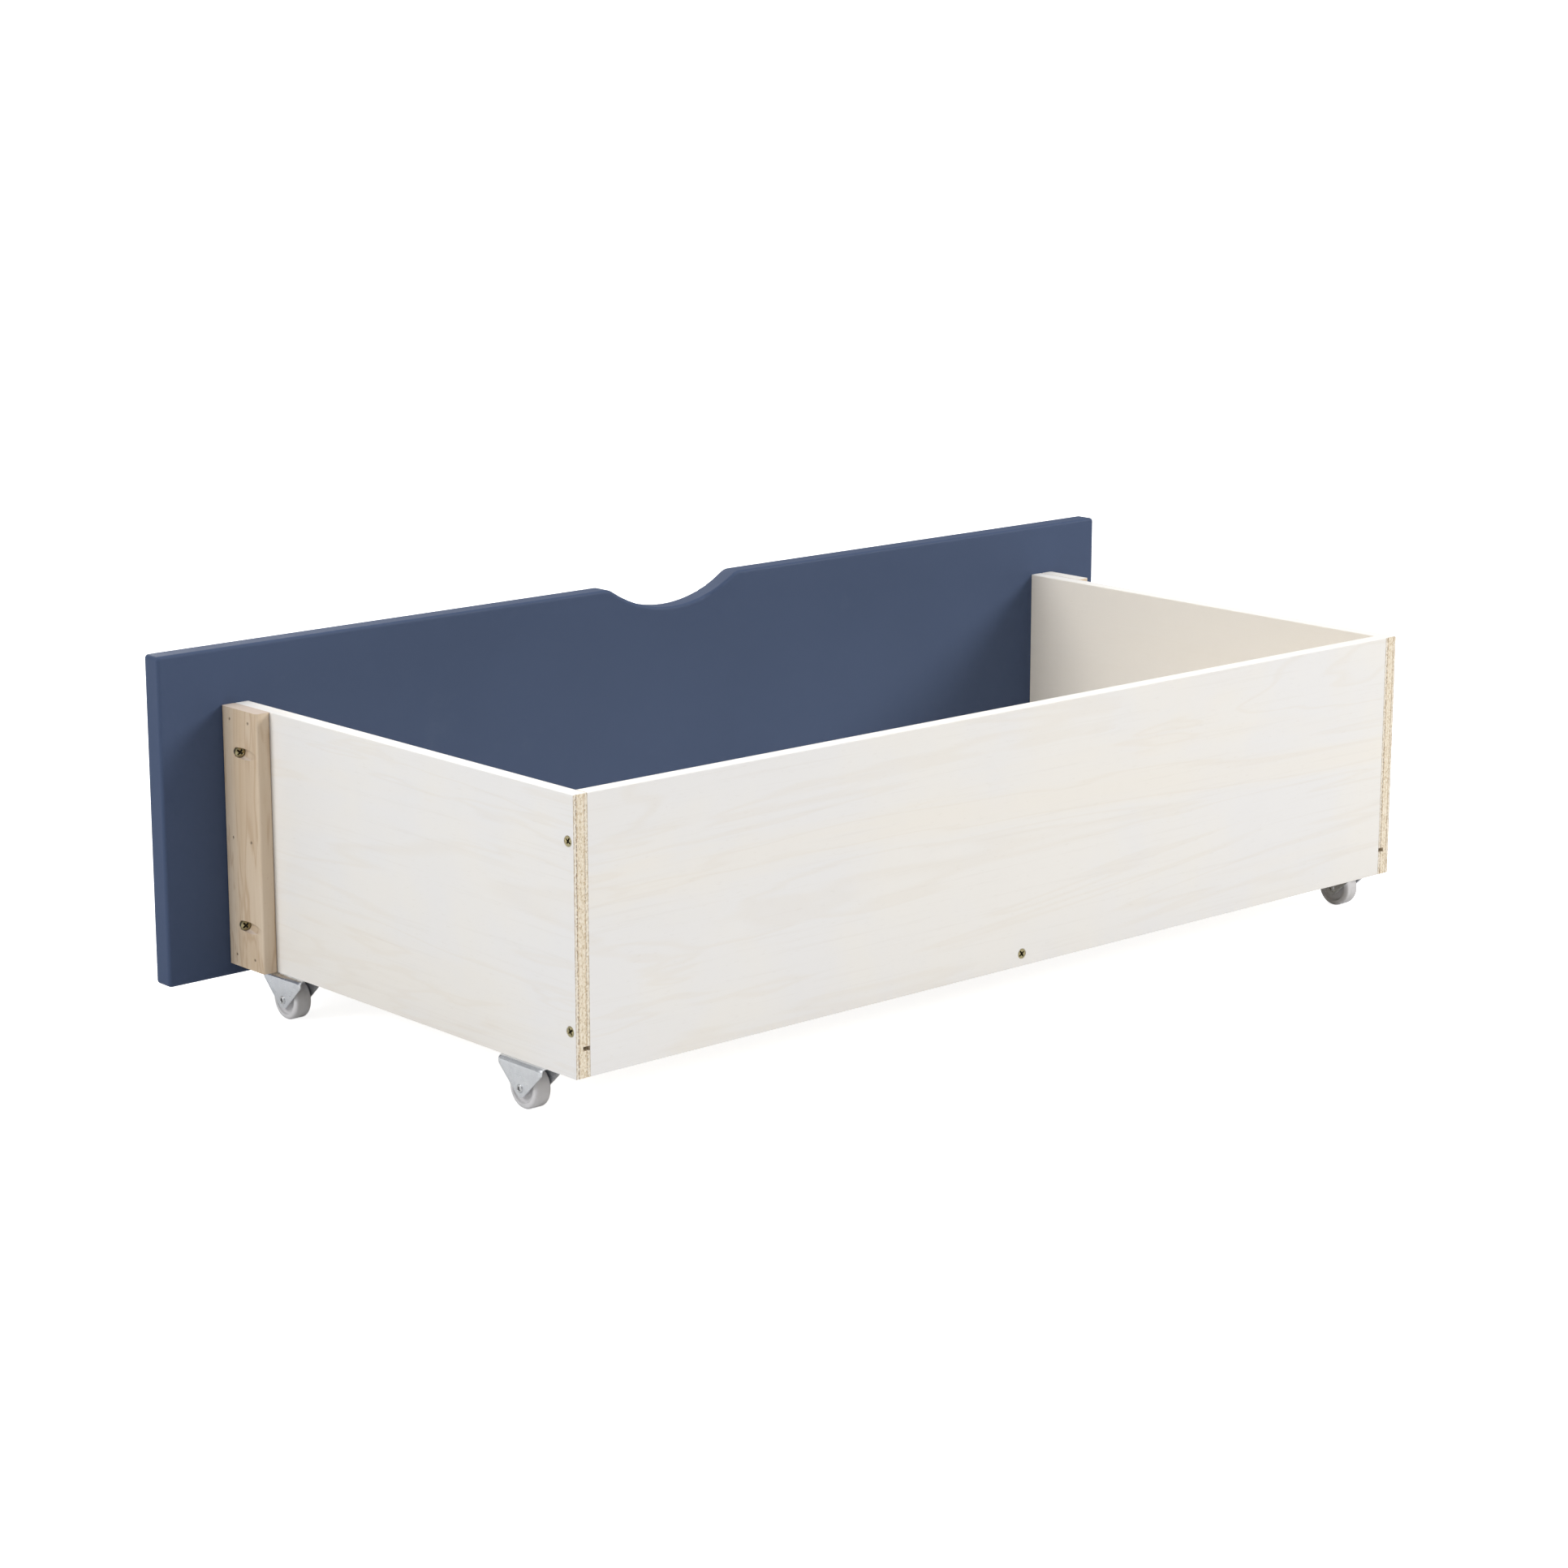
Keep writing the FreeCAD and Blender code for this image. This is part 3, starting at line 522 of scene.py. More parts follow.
@dataclass(frozen=True)
class WashedPly(Finish):
    """White-washed plywood: grained faces and top, raw sawn ends, underside and groove; a
    painted highlight whitens up-facing faces and painted warm bounce light tints the inner
    faces.
    """

    through: Axis = Axis.ACROSS
    low: float = 0.0
    high: float = 0.012
    groove: tuple[float, float] = (0.0, 0.0)
    inner_is_high: bool = False
    specular: ClassVar[float] = 0.30
    lime: ClassVar[Colour] = (0.768, 0.757, 0.746)
    cream: ClassVar[Colour] = (0.788, 0.766, 0.730)
    honey: ClassVar[Colour] = (0.80, 0.755, 0.68)
    ring: ClassVar[Colour] = (0.70, 0.63, 0.53)
    fibre: ClassVar[Colour] = (0.66, 0.62, 0.57)
    pore: ClassVar[Colour] = (0.46, 0.40, 0.33)
    knot: ClassVar[Colour] = (0.36, 0.30, 0.24)
    # painted light: warm bounce light on the inner faces, as a tint
    inner: ClassVar[Colour] = (0.93, 0.87, 0.775)
    # painted highlight: up-facing faces are whitened as if lit from above
    top: ClassVar[Colour] = (0.90, 0.885, 0.86)
    groove_slack: ClassVar[float] = 0.4 * MM

    def wire(self, w: Canvas) -> None:
        """Coats of wash over the figure, a painted highlight on up-facing faces and painted
        warm bounce light on inner faces, swapped for bare layers where the edge is raw.

        Args:
            w: The material.
        """
        turn = (0.0, 0.0, math.pi / 2) if self.through is Axis.ACROSS else (0.0, 0.0, 0.0)
        grain = w.stretch(w.place, (1.0, 1.0, 1.0), turn)
        figure = w.group(self.groups.figure, {
            "Vector": grain, "Figure Scale": 11.0, "Fibre Scale": 300.0})
        faces = w.group(self.groups.faces, {"Normal": w.normal})
        part = w.add("ShaderNodeSeparateXYZ", {0: w.place}).outputs
        depth = w.add("ShaderNodeMapRange", {
            "Value": part[self.through.value], "From Min": self.low,
            "From Max": self.high}).outputs["Result"]
        layers = w.group(self.groups.layers, {"Vector": w.place, "Depth": depth})

        spots = w.add("ShaderNodeTexVoronoi", {
            "Vector": w.stretch(grain, (0.6, 1.0, 1.0)), "Scale": 30.0, "Randomness": 1.0})
        knots = w.times(w.span(spots.outputs["Distance"], 0.018, 0.05, 1.0, 0.0),
                        w.span(w.noise(w.place, 19.0, 1.0), 0.56, 0.62))
        inward = w.maths("GREATER_THAN", depth, 0.48) if self.inner_is_high else w.maths(
            "LESS_THAN", depth, 0.52)
        # the last two coats are painted light: warm bounce on inner faces, a highlight on
        # up-facing faces
        wash = w.coats(self.lime, (
            (w.span(w.noise(w.place, 7.0, 3.0, 0.6), 0.38, 0.62), self.cream),
            (w.span(figure["Figure"], 0.50, 0.68, 0.0, 0.50), self.honey),
            (w.times(w.span(figure["Rings"], 0.72, 1.0), 0.16), self.ring),
            (w.span(figure["Fibre"], 0.52, 0.72, 0.0, 0.14), self.fibre),
            (w.times(figure["Pores"], 0.06), self.pore), (w.times(knots, 0.34), self.knot),
            (w.times(inward, 0.85), self.inner), (w.times(faces["Top"], 0.75), self.top)))

        within = w.times(
            w.maths("GREATER_THAN", part[2], self.groove[0] - self.groove_slack),
            w.maths("LESS_THAN", part[2], self.groove[1] + self.groove_slack))
        edge_on = "Along" if self.through is Axis.ACROSS else "Across"
        raw = w.maths("MAXIMUM", faces[edge_on], faces["Underside"])
        raw = w.maths("MAXIMUM", raw, w.times(inward, within))
        w.give("Base Color", w.blend(raw, wash, layers["Color"]))
        w.give("Roughness", w.maths("MULTIPLY_ADD", raw, 0.24, w.span(
            figure["Figure"], 0.3, 0.7, 0.52, 0.62)))
        grainy = w.maths("MULTIPLY_ADD", figure["Pores"], -0.6, figure["Fibre"])
        height = w.add("ShaderNodeMix", {0: raw, 2: grainy, 3: layers["Relief"]},
                       data_type="FLOAT")
        w.relief(height.outputs[0], 0.35, 0.00018)


@dataclass(frozen=True)
class Softwood(Finish):
    """Planed softwood with straight grain along one axis."""

    run: Axis = Axis.UP
    pale: Colour = (0.66, 0.55, 0.425)
    dark: Colour = (0.55, 0.42, 0.285)
    line: Colour = (0.44, 0.30, 0.18)
    sawn: Colour = (0.72, 0.61, 0.52)
    # painted shade: the near-black put into the brad holes
    soot: Colour = (0.055, 0.040, 0.028)
    specular: ClassVar[float] = 0.30
    turns: ClassVar[dict[Axis, tuple[str, Colour]]] = {
        Axis.ACROSS: ("Across", (0.0, 0.0, 0.0)),
        Axis.ALONG: ("Along", (0.0, 0.0, math.pi / 2)),
        Axis.UP: ("Top", (0.0, math.pi / 2, 0.0))}

    def wire(self, w: Canvas) -> None:
        """Figured long grain, speckled sawn ends, and painted shade where the mesh carries it,
        in the brad holes.

        Args:
            w: The material.
        """
        ends, turn = self.turns[self.run]
        figure = w.group(self.groups.figure, {
            "Vector": w.stretch(w.place, (0.35, 1.0, 1.0), turn), "Figure Scale": 34.0,
            "Fibre Scale": 620.0})
        faces = w.group(self.groups.faces, {"Normal": w.normal})
        rough_end = w.blend(w.noise(w.place, 900.0, 3.0, 0.7), self.sawn,
                            tuple(0.84 * part for part in self.sawn))
        w.give("Base Color", w.coats(self.pale, (
            (w.span(figure["Figure"], 0.36, 0.64), self.dark),
            (w.times(w.span(figure["Rings"], 0.70, 1.0), 0.50), self.line),
            (w.span(figure["Fibre"], 0.50, 0.74, 0.0, 0.35), self.dark),
            (w.times(figure["Pores"], 0.16), self.line),
            # painted shade: the mesh attribute darkens the brad holes towards a near-black
            (faces[ends], rough_end), (w.grime(), self.soot))))
        w.give("Roughness", w.span(figure["Fibre"], 0.3, 0.7, 0.55, 0.68))
        height = w.maths("MULTIPLY_ADD", figure["Rings"], 0.5, figure["Fibre"])
        w.relief(height, 0.35, 0.00020)


@dataclass(frozen=True)
class PlatedSteel(Finish):
    """Plated steel: a rolled or turned sheen with a cloudy passivated tone."""

    tint: Colour = (0.80, 0.825, 0.855)
    stain: Colour = (0.73, 0.755, 0.79)
    gloss: tuple[float, float] = (0.17, 0.27)
    coarse: float = 45.0
    # painted shade: the near-black put into rivet wells and screw recesses
    oil: Colour = (0.020, 0.018, 0.014)

    def wire(self, w: Canvas) -> None:
        """Cloudy metal with rolling lines, and painted shade where the mesh carries it, in
        rivet wells and screw recesses.

        Args:
            w: The material.
        """
        marks = w.group(self.groups.marks, {"Vector": w.place, "Scale": self.coarse})
        w.give("Base Color", w.coats(self.tint, (
            (w.span(marks["Dust"], 0.35, 0.68), self.stain),
            (w.times(marks["Scuffs"], 0.12), tuple(0.55 * part for part in self.tint)),
            # painted shade from the mesh attribute, in rivet wells and screw recesses
            (w.grime(), self.oil))))
        w.give("Metallic", 1.0)
        rolled = w.noise(w.stretch(w.place, (1.0, 0.06, 1.0)), 2600.0, 2.0, 0.6)
        w.give("Roughness", w.maths("MULTIPLY_ADD", rolled, 0.08, w.span(
            marks["Sheen"], 0.3, 0.7, *self.gloss)))
        w.relief(marks["Sheen"], 0.10, 0.0002)


@dataclass(frozen=True)
class MouldedNylon(Finish):
    """Off-white moulded nylon, a little grey where it has rolled."""

    specular: ClassVar[float] = 0.45
    tint: Colour = (0.66, 0.65, 0.66)
    worn: Colour = (0.57, 0.56, 0.56)
    scuff: Colour = (0.40, 0.39, 0.38)

    def wire(self, w: Canvas) -> None:
        """Translucent off-white, worn in patches, with a fine moulded texture.

        Args:
            w: The material.
        """
        marks = w.group(self.groups.marks, {"Vector": w.place, "Scale": 40.0})
        w.give("Base Color", w.coats(self.tint, (
            (w.span(marks["Dust"], 0.45, 0.85), self.worn),
            (w.times(marks["Scuffs"], 0.12), self.scuff))))
        w.give("Roughness", w.span(marks["Dust"], 0.3, 0.7, 0.36, 0.50))
        w.give("Subsurface Weight", 0.12)
        w.give("Subsurface Radius", (0.004, 0.004, 0.0035))
        w.relief(w.noise(w.place, 1400.0, 2.0, 0.5), 0.15, 0.00005)


# ---- surfaces


def rounded_outline(corners: Array, radii: Array, steps: int) -> Array:
    """Round the corners of a closed outline.

    At a corner P with unit edges a and b that meet at the angle t, the arc's centre is
    P + (a + b) / |a + b| * r / sin(t / 2), and its ends lie r / tan(t / 2) along a and b.
    The arc is the spherical blend of the two radius vectors.

    Args:
        corners: Corner points, one row each.
        radii: One radius for each corner.
        steps: Segments in each arc.

    Returns:
        The outline's points, steps + 1 for each corner.
    """
    before = np.roll(corners, 1, axis=0) - corners
    after = np.roll(corners, -1, axis=0) - corners
    a = before / np.linalg.norm(before, axis=1, keepdims=True)
    b = after / np.linalg.norm(after, axis=1, keepdims=True)
    half = np.arccos(np.clip(np.sum(a * b, axis=1), -1.0, 1.0)) / 2.0
    reach = (radii / np.tan(half))[:, None]
    middle = a + b
    middle = middle / np.linalg.norm(middle, axis=1, keepdims=True)
    centre = corners + middle * (radii / np.sin(half))[:, None]
    start = corners + a * reach - centre
    stop = corners + b * reach - centre
    sweep = (np.pi - 2.0 * half)[:, None, None]
    t = np.linspace(0.0, 1.0, steps + 1)[None, :, None]
    arc = (np.sin((1.0 - t) * sweep) * start[:, None] + np.sin(t * sweep) * stop[:, None])
    return (centre[:, None] + arc / np.sin(sweep)).reshape(-1, corners.shape[1])


def grid_faces(rows: int, columns: int, wrap_rows: bool, wrap_columns: bool) -> Array:
    """Index the quads of a grid of points.

    Args:
        rows: Points one way.
        columns: Points the other way.
        wrap_rows: Whether the last row joins the first.
        wrap_columns: Whether the last column joins the first.

    Returns:
        One row of four vertex numbers for each quad.
    """
    i = np.arange(rows if wrap_rows else rows - 1)[:, None]
    j = np.arange(columns if wrap_columns else columns - 1)[None, :]
    k, m = (i + 1) % rows, (j + 1) % columns
    quads = np.stack([i * columns + j, k * columns + j, k * columns + m,
                      i * columns + m], axis=-1)
    return quads.reshape(-1, 4)


def turned_about(outline: Array, steps: int) -> Array:
    """Carry an outline round the local Z axis.

    A point (r, h) becomes (r cos a, r sin a, h) for evenly spaced angles a.

    Args:
        outline: Rows of radius and height.
        steps: Points round the axis.

    Returns:
        Points as an array of outline by steps by 3.
    """
    angle = np.linspace(0.0, 2.0 * np.pi, steps, endpoint=False)[None, :]
    r, h = outline[:, 0:1], outline[:, 1:2]
    return np.stack([r * np.cos(angle), r * np.sin(angle), h + 0.0 * angle], axis=-1)


def basis_for(way: Sequence[float], spin: float) -> Array:
    """Build a frame whose Z looks along a direction.

    Args:
        way: The direction.
        spin: A turn about it in radians.

    Returns:
        Rows are the frame's X, Y and Z.
    """
    z = np.asarray(way, float) / np.linalg.norm(way)
    helper = np.array([0.0, 0.0, 1.0]) if abs(z[2]) < 0.9 else np.array([1.0, 0.0, 0.0])
    x = np.cross(helper, z)
    x /= np.linalg.norm(x)
    y = np.cross(z, x)
    return np.stack([x * np.cos(spin) + y * np.sin(spin),
                     y * np.cos(spin) - x * np.sin(spin), z])


def eased(t: Array) -> Array:
    """Smooth step of t, which is clipped to run from 0 to 1."""
    t = np.clip(t, 0.0, 1.0)
    return t * t * (3.0 - 2.0 * t)


def box_of(node: str) -> tuple[Array, Array]:
    """The low and high corners of a CAD node's box, in metres."""
    low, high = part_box(node)
    return np.array(low), np.array(high)


def repeated(rows: int, columns: int, count: int) -> Array:
    """Quads of several separate shells, each a grid that wraps round its columns."""
    quads = grid_faces(rows, columns, False, True)
    return np.concatenate([quads + number * rows * columns for number in range(count)])


def stand_in(made: Piece, node: str, body: str) -> Piece:
    """Show a piece in place of a CAD node.

    Args:
        made: The piece.
        node: The node that it replaces.
        body: The body that it rides on.

    Returns:
        The piece.
    """
    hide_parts(node)
    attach(made, body)
    return made


def make_piece(name: str, points: Array, faces: Array,
               finish: Material, smooth: float = 35.0,
               grime: Array | None = None) -> Piece:
    """Put numpy points and faces into a shown mesh.

    Args:
        name: The piece's name.
        points: Rows of x, y, z in metres.
        faces: Rows of vertex numbers.
        finish: The piece's material.
        smooth: Edges flatter than this many degrees are shaded smooth.
        grime: How much painted shade darkens each point, in recesses and holes, from 0 to 1.

    Returns:
        The new object, at the origin.
    """
    mesh = bpy.data.meshes.new(name)
    mesh.from_pydata(points.reshape(-1, 3).tolist(), [], faces.tolist())
    if grime is not None:
        # per-point painted shade, read by the materials to darken holes and recesses
        layer = mesh.attributes.new("grime", "FLOAT", "POINT")
        layer.data.foreach_set("value", grime.ravel().astype(np.float32))
    shell = bmesh.new()
    shell.from_mesh(mesh)
    bmesh.ops.remove_doubles(shell, verts=shell.verts, dist=1e-6)
    bmesh.ops.dissolve_degenerate(shell, edges=shell.edges, dist=1e-7)
    bmesh.ops.recalc_face_normals(shell, faces=shell.faces)
    shell.to_mesh(mesh)
    shell.free()
    mesh.polygons.foreach_set("use_smooth", np.ones(len(mesh.polygons), bool))
    mesh.set_sharp_from_angle(angle=math.radians(smooth))
    mesh.materials.append(finish)
    mesh.update()
    made = bpy.data.objects.new(name, mesh)
    bpy.context.scene.collection.objects.link(made)
    return made


# ---- sub-assemblies


@dataclass
class WoodenBox:
    """The painted front, the plywood box, its cleats, rail and bottom board."""

    nodes: dict[str, Piece]
    groups: GroupBook
    groove_height: float = 3.2 * MM
    sawn: ClassVar[dict[Hand, Colour]] = {
        Hand.LEFT: (0.93, 0.90, 0.85), Hand.RIGHT: (0.72, 0.61, 0.52)}
    finishes: dict[str, Material] = field(default_factory=dict)

    def dress(self) -> int:
        """Give every wooden node its finish.

        Returns:
            How many nodes were dressed.
        """
        board_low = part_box("bottom_board")[0][2]
        groove = (board_low, board_low + self.groove_height)
        self._finish("front_panel", SlatePaint("slate_paint", self.groups))
        for hand in Hand:
            node = "side_panel_" + hand.label
            low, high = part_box(node)
            self._finish(node, WashedPly(
                "washed_ply_" + hand.label, self.groups, Axis.ACROSS, low[0], high[0],
                groove, hand is Hand.LEFT))
            self._finish("cleat_" + hand.label, Softwood(
                "batten_" + hand.label, self.groups, Axis.UP, sawn=self.sawn[hand]))
        low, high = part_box("back_panel")
        self._finish("back_panel", WashedPly(
            "washed_ply_back", self.groups, Axis.ALONG, low[1], high[1], groove, False))
        low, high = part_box("bottom_board")
        self._finish("bottom_board", WashedPly(
            "washed_board", self.groups, Axis.UP, low[2] - 0.5 * MM, high[2],
            (-1.0, -1.0), True))
        self._finish("centre_rail", Softwood("rail_softwood", self.groups, Axis.ALONG))
        self._finish("rail_dowel", Softwood(
            "dowel_hardwood", self.groups, Axis.ALONG, (0.66, 0.49, 0.33),
            (0.55, 0.38, 0.24), (0.40, 0.26, 0.15)))
        return len(self.finishes)

    def plug_brads(self) -> Piece:
        """Brads driven below the cleats' faces, with a small dark oval of painted shade in the
        hole over each.

        Each brad is a polar grid: rows of radius r and depth h carried round its axis.  The
        oval is e = sqrt((across / 0.75 mm)^2 + (up / 1.1 mm)^2), and both the painted shade
        and a
        0.25 mm dimple fall smoothly from 1 to 0 between e = 0.9 and e = 1.15.

        Returns:
            The piece that stands for the brads.
        """
        low, high = box_of("cleat_brads")
        radius, long, steps = 1.2 * MM, 18.0 * MM, 28
        r = np.concatenate([np.linspace(0.0, radius, 14), [radius, 0.0]])
        h = np.concatenate([np.zeros(14), [-long, -long]])
        shape = turned_about(np.stack([r, h], axis=1), steps)
        oval = np.hypot(shape[..., 1] / (0.75 * MM), shape[..., 0] / (1.1 * MM))
        # painted shade: the hole over the brad is darkened, and dimpled
        dark = eased((1.15 - oval) / 0.25) * (shape[..., 2] > -MM)
        shape[..., 2] -= 0.25 * MM * dark
        levels = (low[2] + radius, (low[2] + high[2]) / 2.0, high[2] - radius)
        spots = [(hand.value, y, z) for hand in Hand
                 for y in (low[1] + radius, high[1] - radius) for z in levels]
        shells = [np.stack([sign * (high[0] + shape[..., 2]), y + shape[..., 1],
                            z + shape[..., 0]], axis=-1) for sign, y, z in spots]
        made = make_piece("sunk_brads", np.stack(shells),
                          repeated(r.size, steps, len(shells)),
                          self.finishes["cleat_right"], 40.0,
                          np.tile(0.9 * dark.ravel(), len(shells)))
        return stand_in(made, "cleat_brads", "drawer")

    def _finish(self, node: str, finish: Finish) -> None:
        """Assign a finish to one CAD node.

        Args:
            node: The node's name.
            finish: What it is finished in.
        """
        made = finish.build()
        for slot in self.nodes[node].material_slots:
            slot.link = "OBJECT"
            slot.material = made
        self.finishes[node] = made


@dataclass
class Caster:
    """One fixed caster: folded bracket, hollow rivet and moulded wheel."""

    end: End
    hand: Hand
    steel: Material
    rivet_steel: Material
    nylon: Material
    sheet: float = 1.2 * MM
    fold: float = 3.6 * MM
    shoulder: float = 5.6 * MM
    ear_round: float = 6.2 * MM
    rim_wall: float = 3.8 * MM
    dish: float = 2.2 * MM
    hub_radius: float = 4.5 * MM
    bore_radius: float = 2.08 * MM
    tread_round: float = 2.6 * MM

    @property
    def label(self) -> str:
        """The caster's place, as node names spell it."""
        return f"{self.end.value}_{self.hand.label}"

    def build(self) -> list[Piece]:
        """Make the caster's three pieces and hang them on their bodies.

        Returns:
            The bracket, the rivet and the wheel.
        """
        low, high = box_of("caster_wheel_" + self.label)
        axle = (low + high) / 2.0
        return [
            stand_in(self._bracket(axle), "caster_bracket_" + self.label,
                     "drawer"),
            stand_in(self._rivet(axle), "caster_axle_" + self.label, "drawer"),
            stand_in(self._wheel(axle, high - low), "caster_wheel_" + self.label,
                     "wheel_" + self.label)]

    def _half_length(self, drop: Array, length: float, axle_drop: float) -> Array:
        """Half the ear's length at a depth d below the bracket's top.

        It is h = length / 2 down to the shoulder s, then the straight line that would reach
        0 at the depth p, then the tip's circle sqrt(r^2 - (d - a)^2) about the axle at a.
        The line passes the axle at r: (p - a) h = r sqrt(h^2 + (p - s)^2), solved for p.

        Args:
            drop: Depths below the top.
            length: The bracket's length.
            axle_drop: Depth of the axle.

        Returns:
            Half lengths.
        """
        h, a, s, r = length / 2.0, axle_drop, self.shoulder, self.ear_round
        first = h * h - r * r
        second = -2.0 * (a * h * h - s * r * r)
        third = a * a * h * h - r * r * (h * h + s * s)
        p = (-second + math.sqrt(second * second - 4.0 * first * third)) / (2.0 * first)
        line = h * (p - drop) / (p - s)
        touch = a + r * h / math.hypot(h, p - s)
        tip = np.sqrt(np.clip(r ** 2 - (drop - a) ** 2, 0.0, None))
        return np.minimum(np.where(drop > touch, tip, line), h)

    def _bracket(self, axle: Array) -> Piece:
        """Folded bracket: a strip that runs up one ear, over the top and down the other.

        Row i of the grid is a station of the rounded U section, at the middle of the
        sheet; column j runs from -1 to 1 times the half length at that depth.  Solidify
        gives the sheet its thickness.

        Args:
            axle: Middle of the axle.

        Returns:
            The bracket.
        """
        low, high = box_of("caster_bracket_" + self.label)
        wide = (high[0] - low[0]) / 2.0 - self.sheet / 2.0
        length = high[1] - low[1]
        top = high[2] - self.sheet / 2.0
        axle_drop = high[2] - axle[2]
        tip = axle_drop + self.ear_round
        radius = self.fold - self.sheet / 2.0
        fall = np.concatenate([
            tip - (tip - axle_drop) * (1.0 - np.cos(np.linspace(0.0, np.pi / 2, 9))),
            np.linspace(axle_drop - 0.0006, self.shoulder + 0.0008, 8),
            self.shoulder + 0.0008 - np.linspace(0.0002, 0.0012, 4),
            np.linspace(self.shoulder - 0.0007, self.fold + 0.0002, 3)])
        side_z = high[2] - fall
        turn = np.linspace(0.0, np.pi / 2, 9)
        arc_x = wide - radius + radius * np.cos(turn)
        arc_z = top - radius + radius * np.sin(turn)
        crown = np.linspace(wide - radius - 0.0006, 0.0006 - wide + radius, 9)
        x = np.concatenate([np.full(side_z.size, wide), arc_x, crown, -arc_x[::-1],
                            np.full(side_z.size, -wide)])
        z = np.concatenate([side_z, arc_z, np.full(crown.size, top), arc_z[::-1],
                            side_z[::-1]])
        half = self._half_length(high[2] - z, length, axle_drop)
        corner = np.clip((high[2] - z - self.shoulder + 0.0012) / 0.0024, 0.0, 1.0)
        half = half - 0.25 * MM * np.sin(np.pi * corner)
        t = np.linspace(-1.0, 1.0, 15)[None, :]
        points = np.stack([
            axle[0] + x[:, None] + 0.0 * t,
            (low[1] + high[1]) / 2.0 + half[:, None] * t,
            z[:, None] + 0.0 * t], axis=-1)
        made = make_piece("bracket_" + self.label, points,
                          grid_faces(x.size, t.size, False, False), self.steel, 50.0)
        wall = made.modifiers.new("wall", "SOLIDIFY")
        wall.thickness = self.sheet
        wall.offset = 0.0
        wall.use_even_offset = True
        soft = made.modifiers.new("burr", "BEVEL")
        soft.width = 0.18 * MM
        soft.segments = 2
        soft.limit_method = "ANGLE"
        soft.angle_limit = math.radians(60.0)
        return made

    def _rivet(self, axle: Array) -> Piece:
        """Hollow rivet: shank, two rolled heads and a well in each end.

        The closed outline (r, h) is carried round the axle, and the wells are darkened with
        painted shade.

        Args:
            axle: Middle of the axle.

        Returns:
            The rivet.
        """
        low, high = box_of("caster_axle_" + self.label)
        tall = (high[0] - low[0]) / 2.0
        seat = tall - 0.9 * MM
        lip = (high[2] - low[2]) / 2.0
        half = np.array([
            [0.0, seat - 2.2 * MM], [1.1 * MM, seat - 1.6 * MM], [1.25 * MM, tall - 0.5 * MM],
            [1.7 * MM, tall], [lip - 0.5 * MM, tall - 0.05 * MM], [lip, seat],
            [2.0 * MM, seat]])
        radii = np.array([0.0, 0.2, 0.3, 0.25, 0.4, 0.15, 0.1]) * MM
        whole = np.concatenate([half, half[::-1] * np.array([1.0, -1.0])])
        both = np.concatenate([radii, radii[::-1]])
        outline = rounded_outline(whole, np.maximum(both, 0.01 * MM), 5)
        outline[:, 0] = np.maximum(outline[:, 0], 0.0)
        points = turned_about(outline, 40)[..., [2, 0, 1]] + axle
        # painted shade: the hollow wells at the rivet's ends are darkened
        inside = (outline[:, 0] < 1.5 * MM) & (np.abs(outline[:, 1]) < tall - 0.3 * MM)
        grime = np.repeat(0.85 * inside.astype(float), 40)
        return make_piece("rivet_" + self.label, points,
                          grid_faces(outline.shape[0], 40, False, True),
                          self.rivet_steel, 60.0, grime)

    def _wheel(self, axle: Array, size: Array) -> Piece:
        """Moulded wheel: rounded tread, dished web, proud hub and open bore.

        The closed outline (r, h) is carried round the axle.  The tread's rows join its
        last corner to its first, at R - 0.06 mm (1 - exp(-(h / 0.35 mm)^2)), which leaves a
        low moulding seam of the full R at the middle.

        Args:
            axle: Middle of the axle.
            size: The wheel's box, hub included.

        Returns:
            The wheel.
        """
        radius = size[2] / 2.0
        hub = size[0] / 2.0
        face = hub - 0.5 * MM
        web = face - self.dish
        rim = radius - self.rim_wall
        half = np.array([
            [self.bore_radius, hub], [self.hub_radius, hub], [self.hub_radius + 0.3 * MM, web],
            [rim - 0.5 * MM, web], [rim, face], [radius, face]])
        radii = np.array([0.25, 0.5, 0.9, 0.9, 0.7, self.tread_round / MM]) * MM
        whole = np.concatenate([half[::-1], half * np.array([1.0, -1.0])])
        both = np.concatenate([radii[::-1], radii])
        side = (face - self.tread_round) * np.array([0.04, 0.08, 0.16, 0.4, 0.7])
        h = np.concatenate([-side[::-1], [0.0], side])
        fall = 1.0 - np.exp(-(h / (0.35 * MM)) ** 2)
        tread = np.stack([radius - 0.06 * MM * fall, h], axis=1)
        outline = np.concatenate([rounded_outline(whole, both, 7), tread])
        points = turned_about(outline, 72)[..., [2, 0, 1]] + axle
        return make_piece("wheel_" + self.label, points,
                          grid_faces(outline.shape[0], 72, True, True), self.nylon, 60.0)


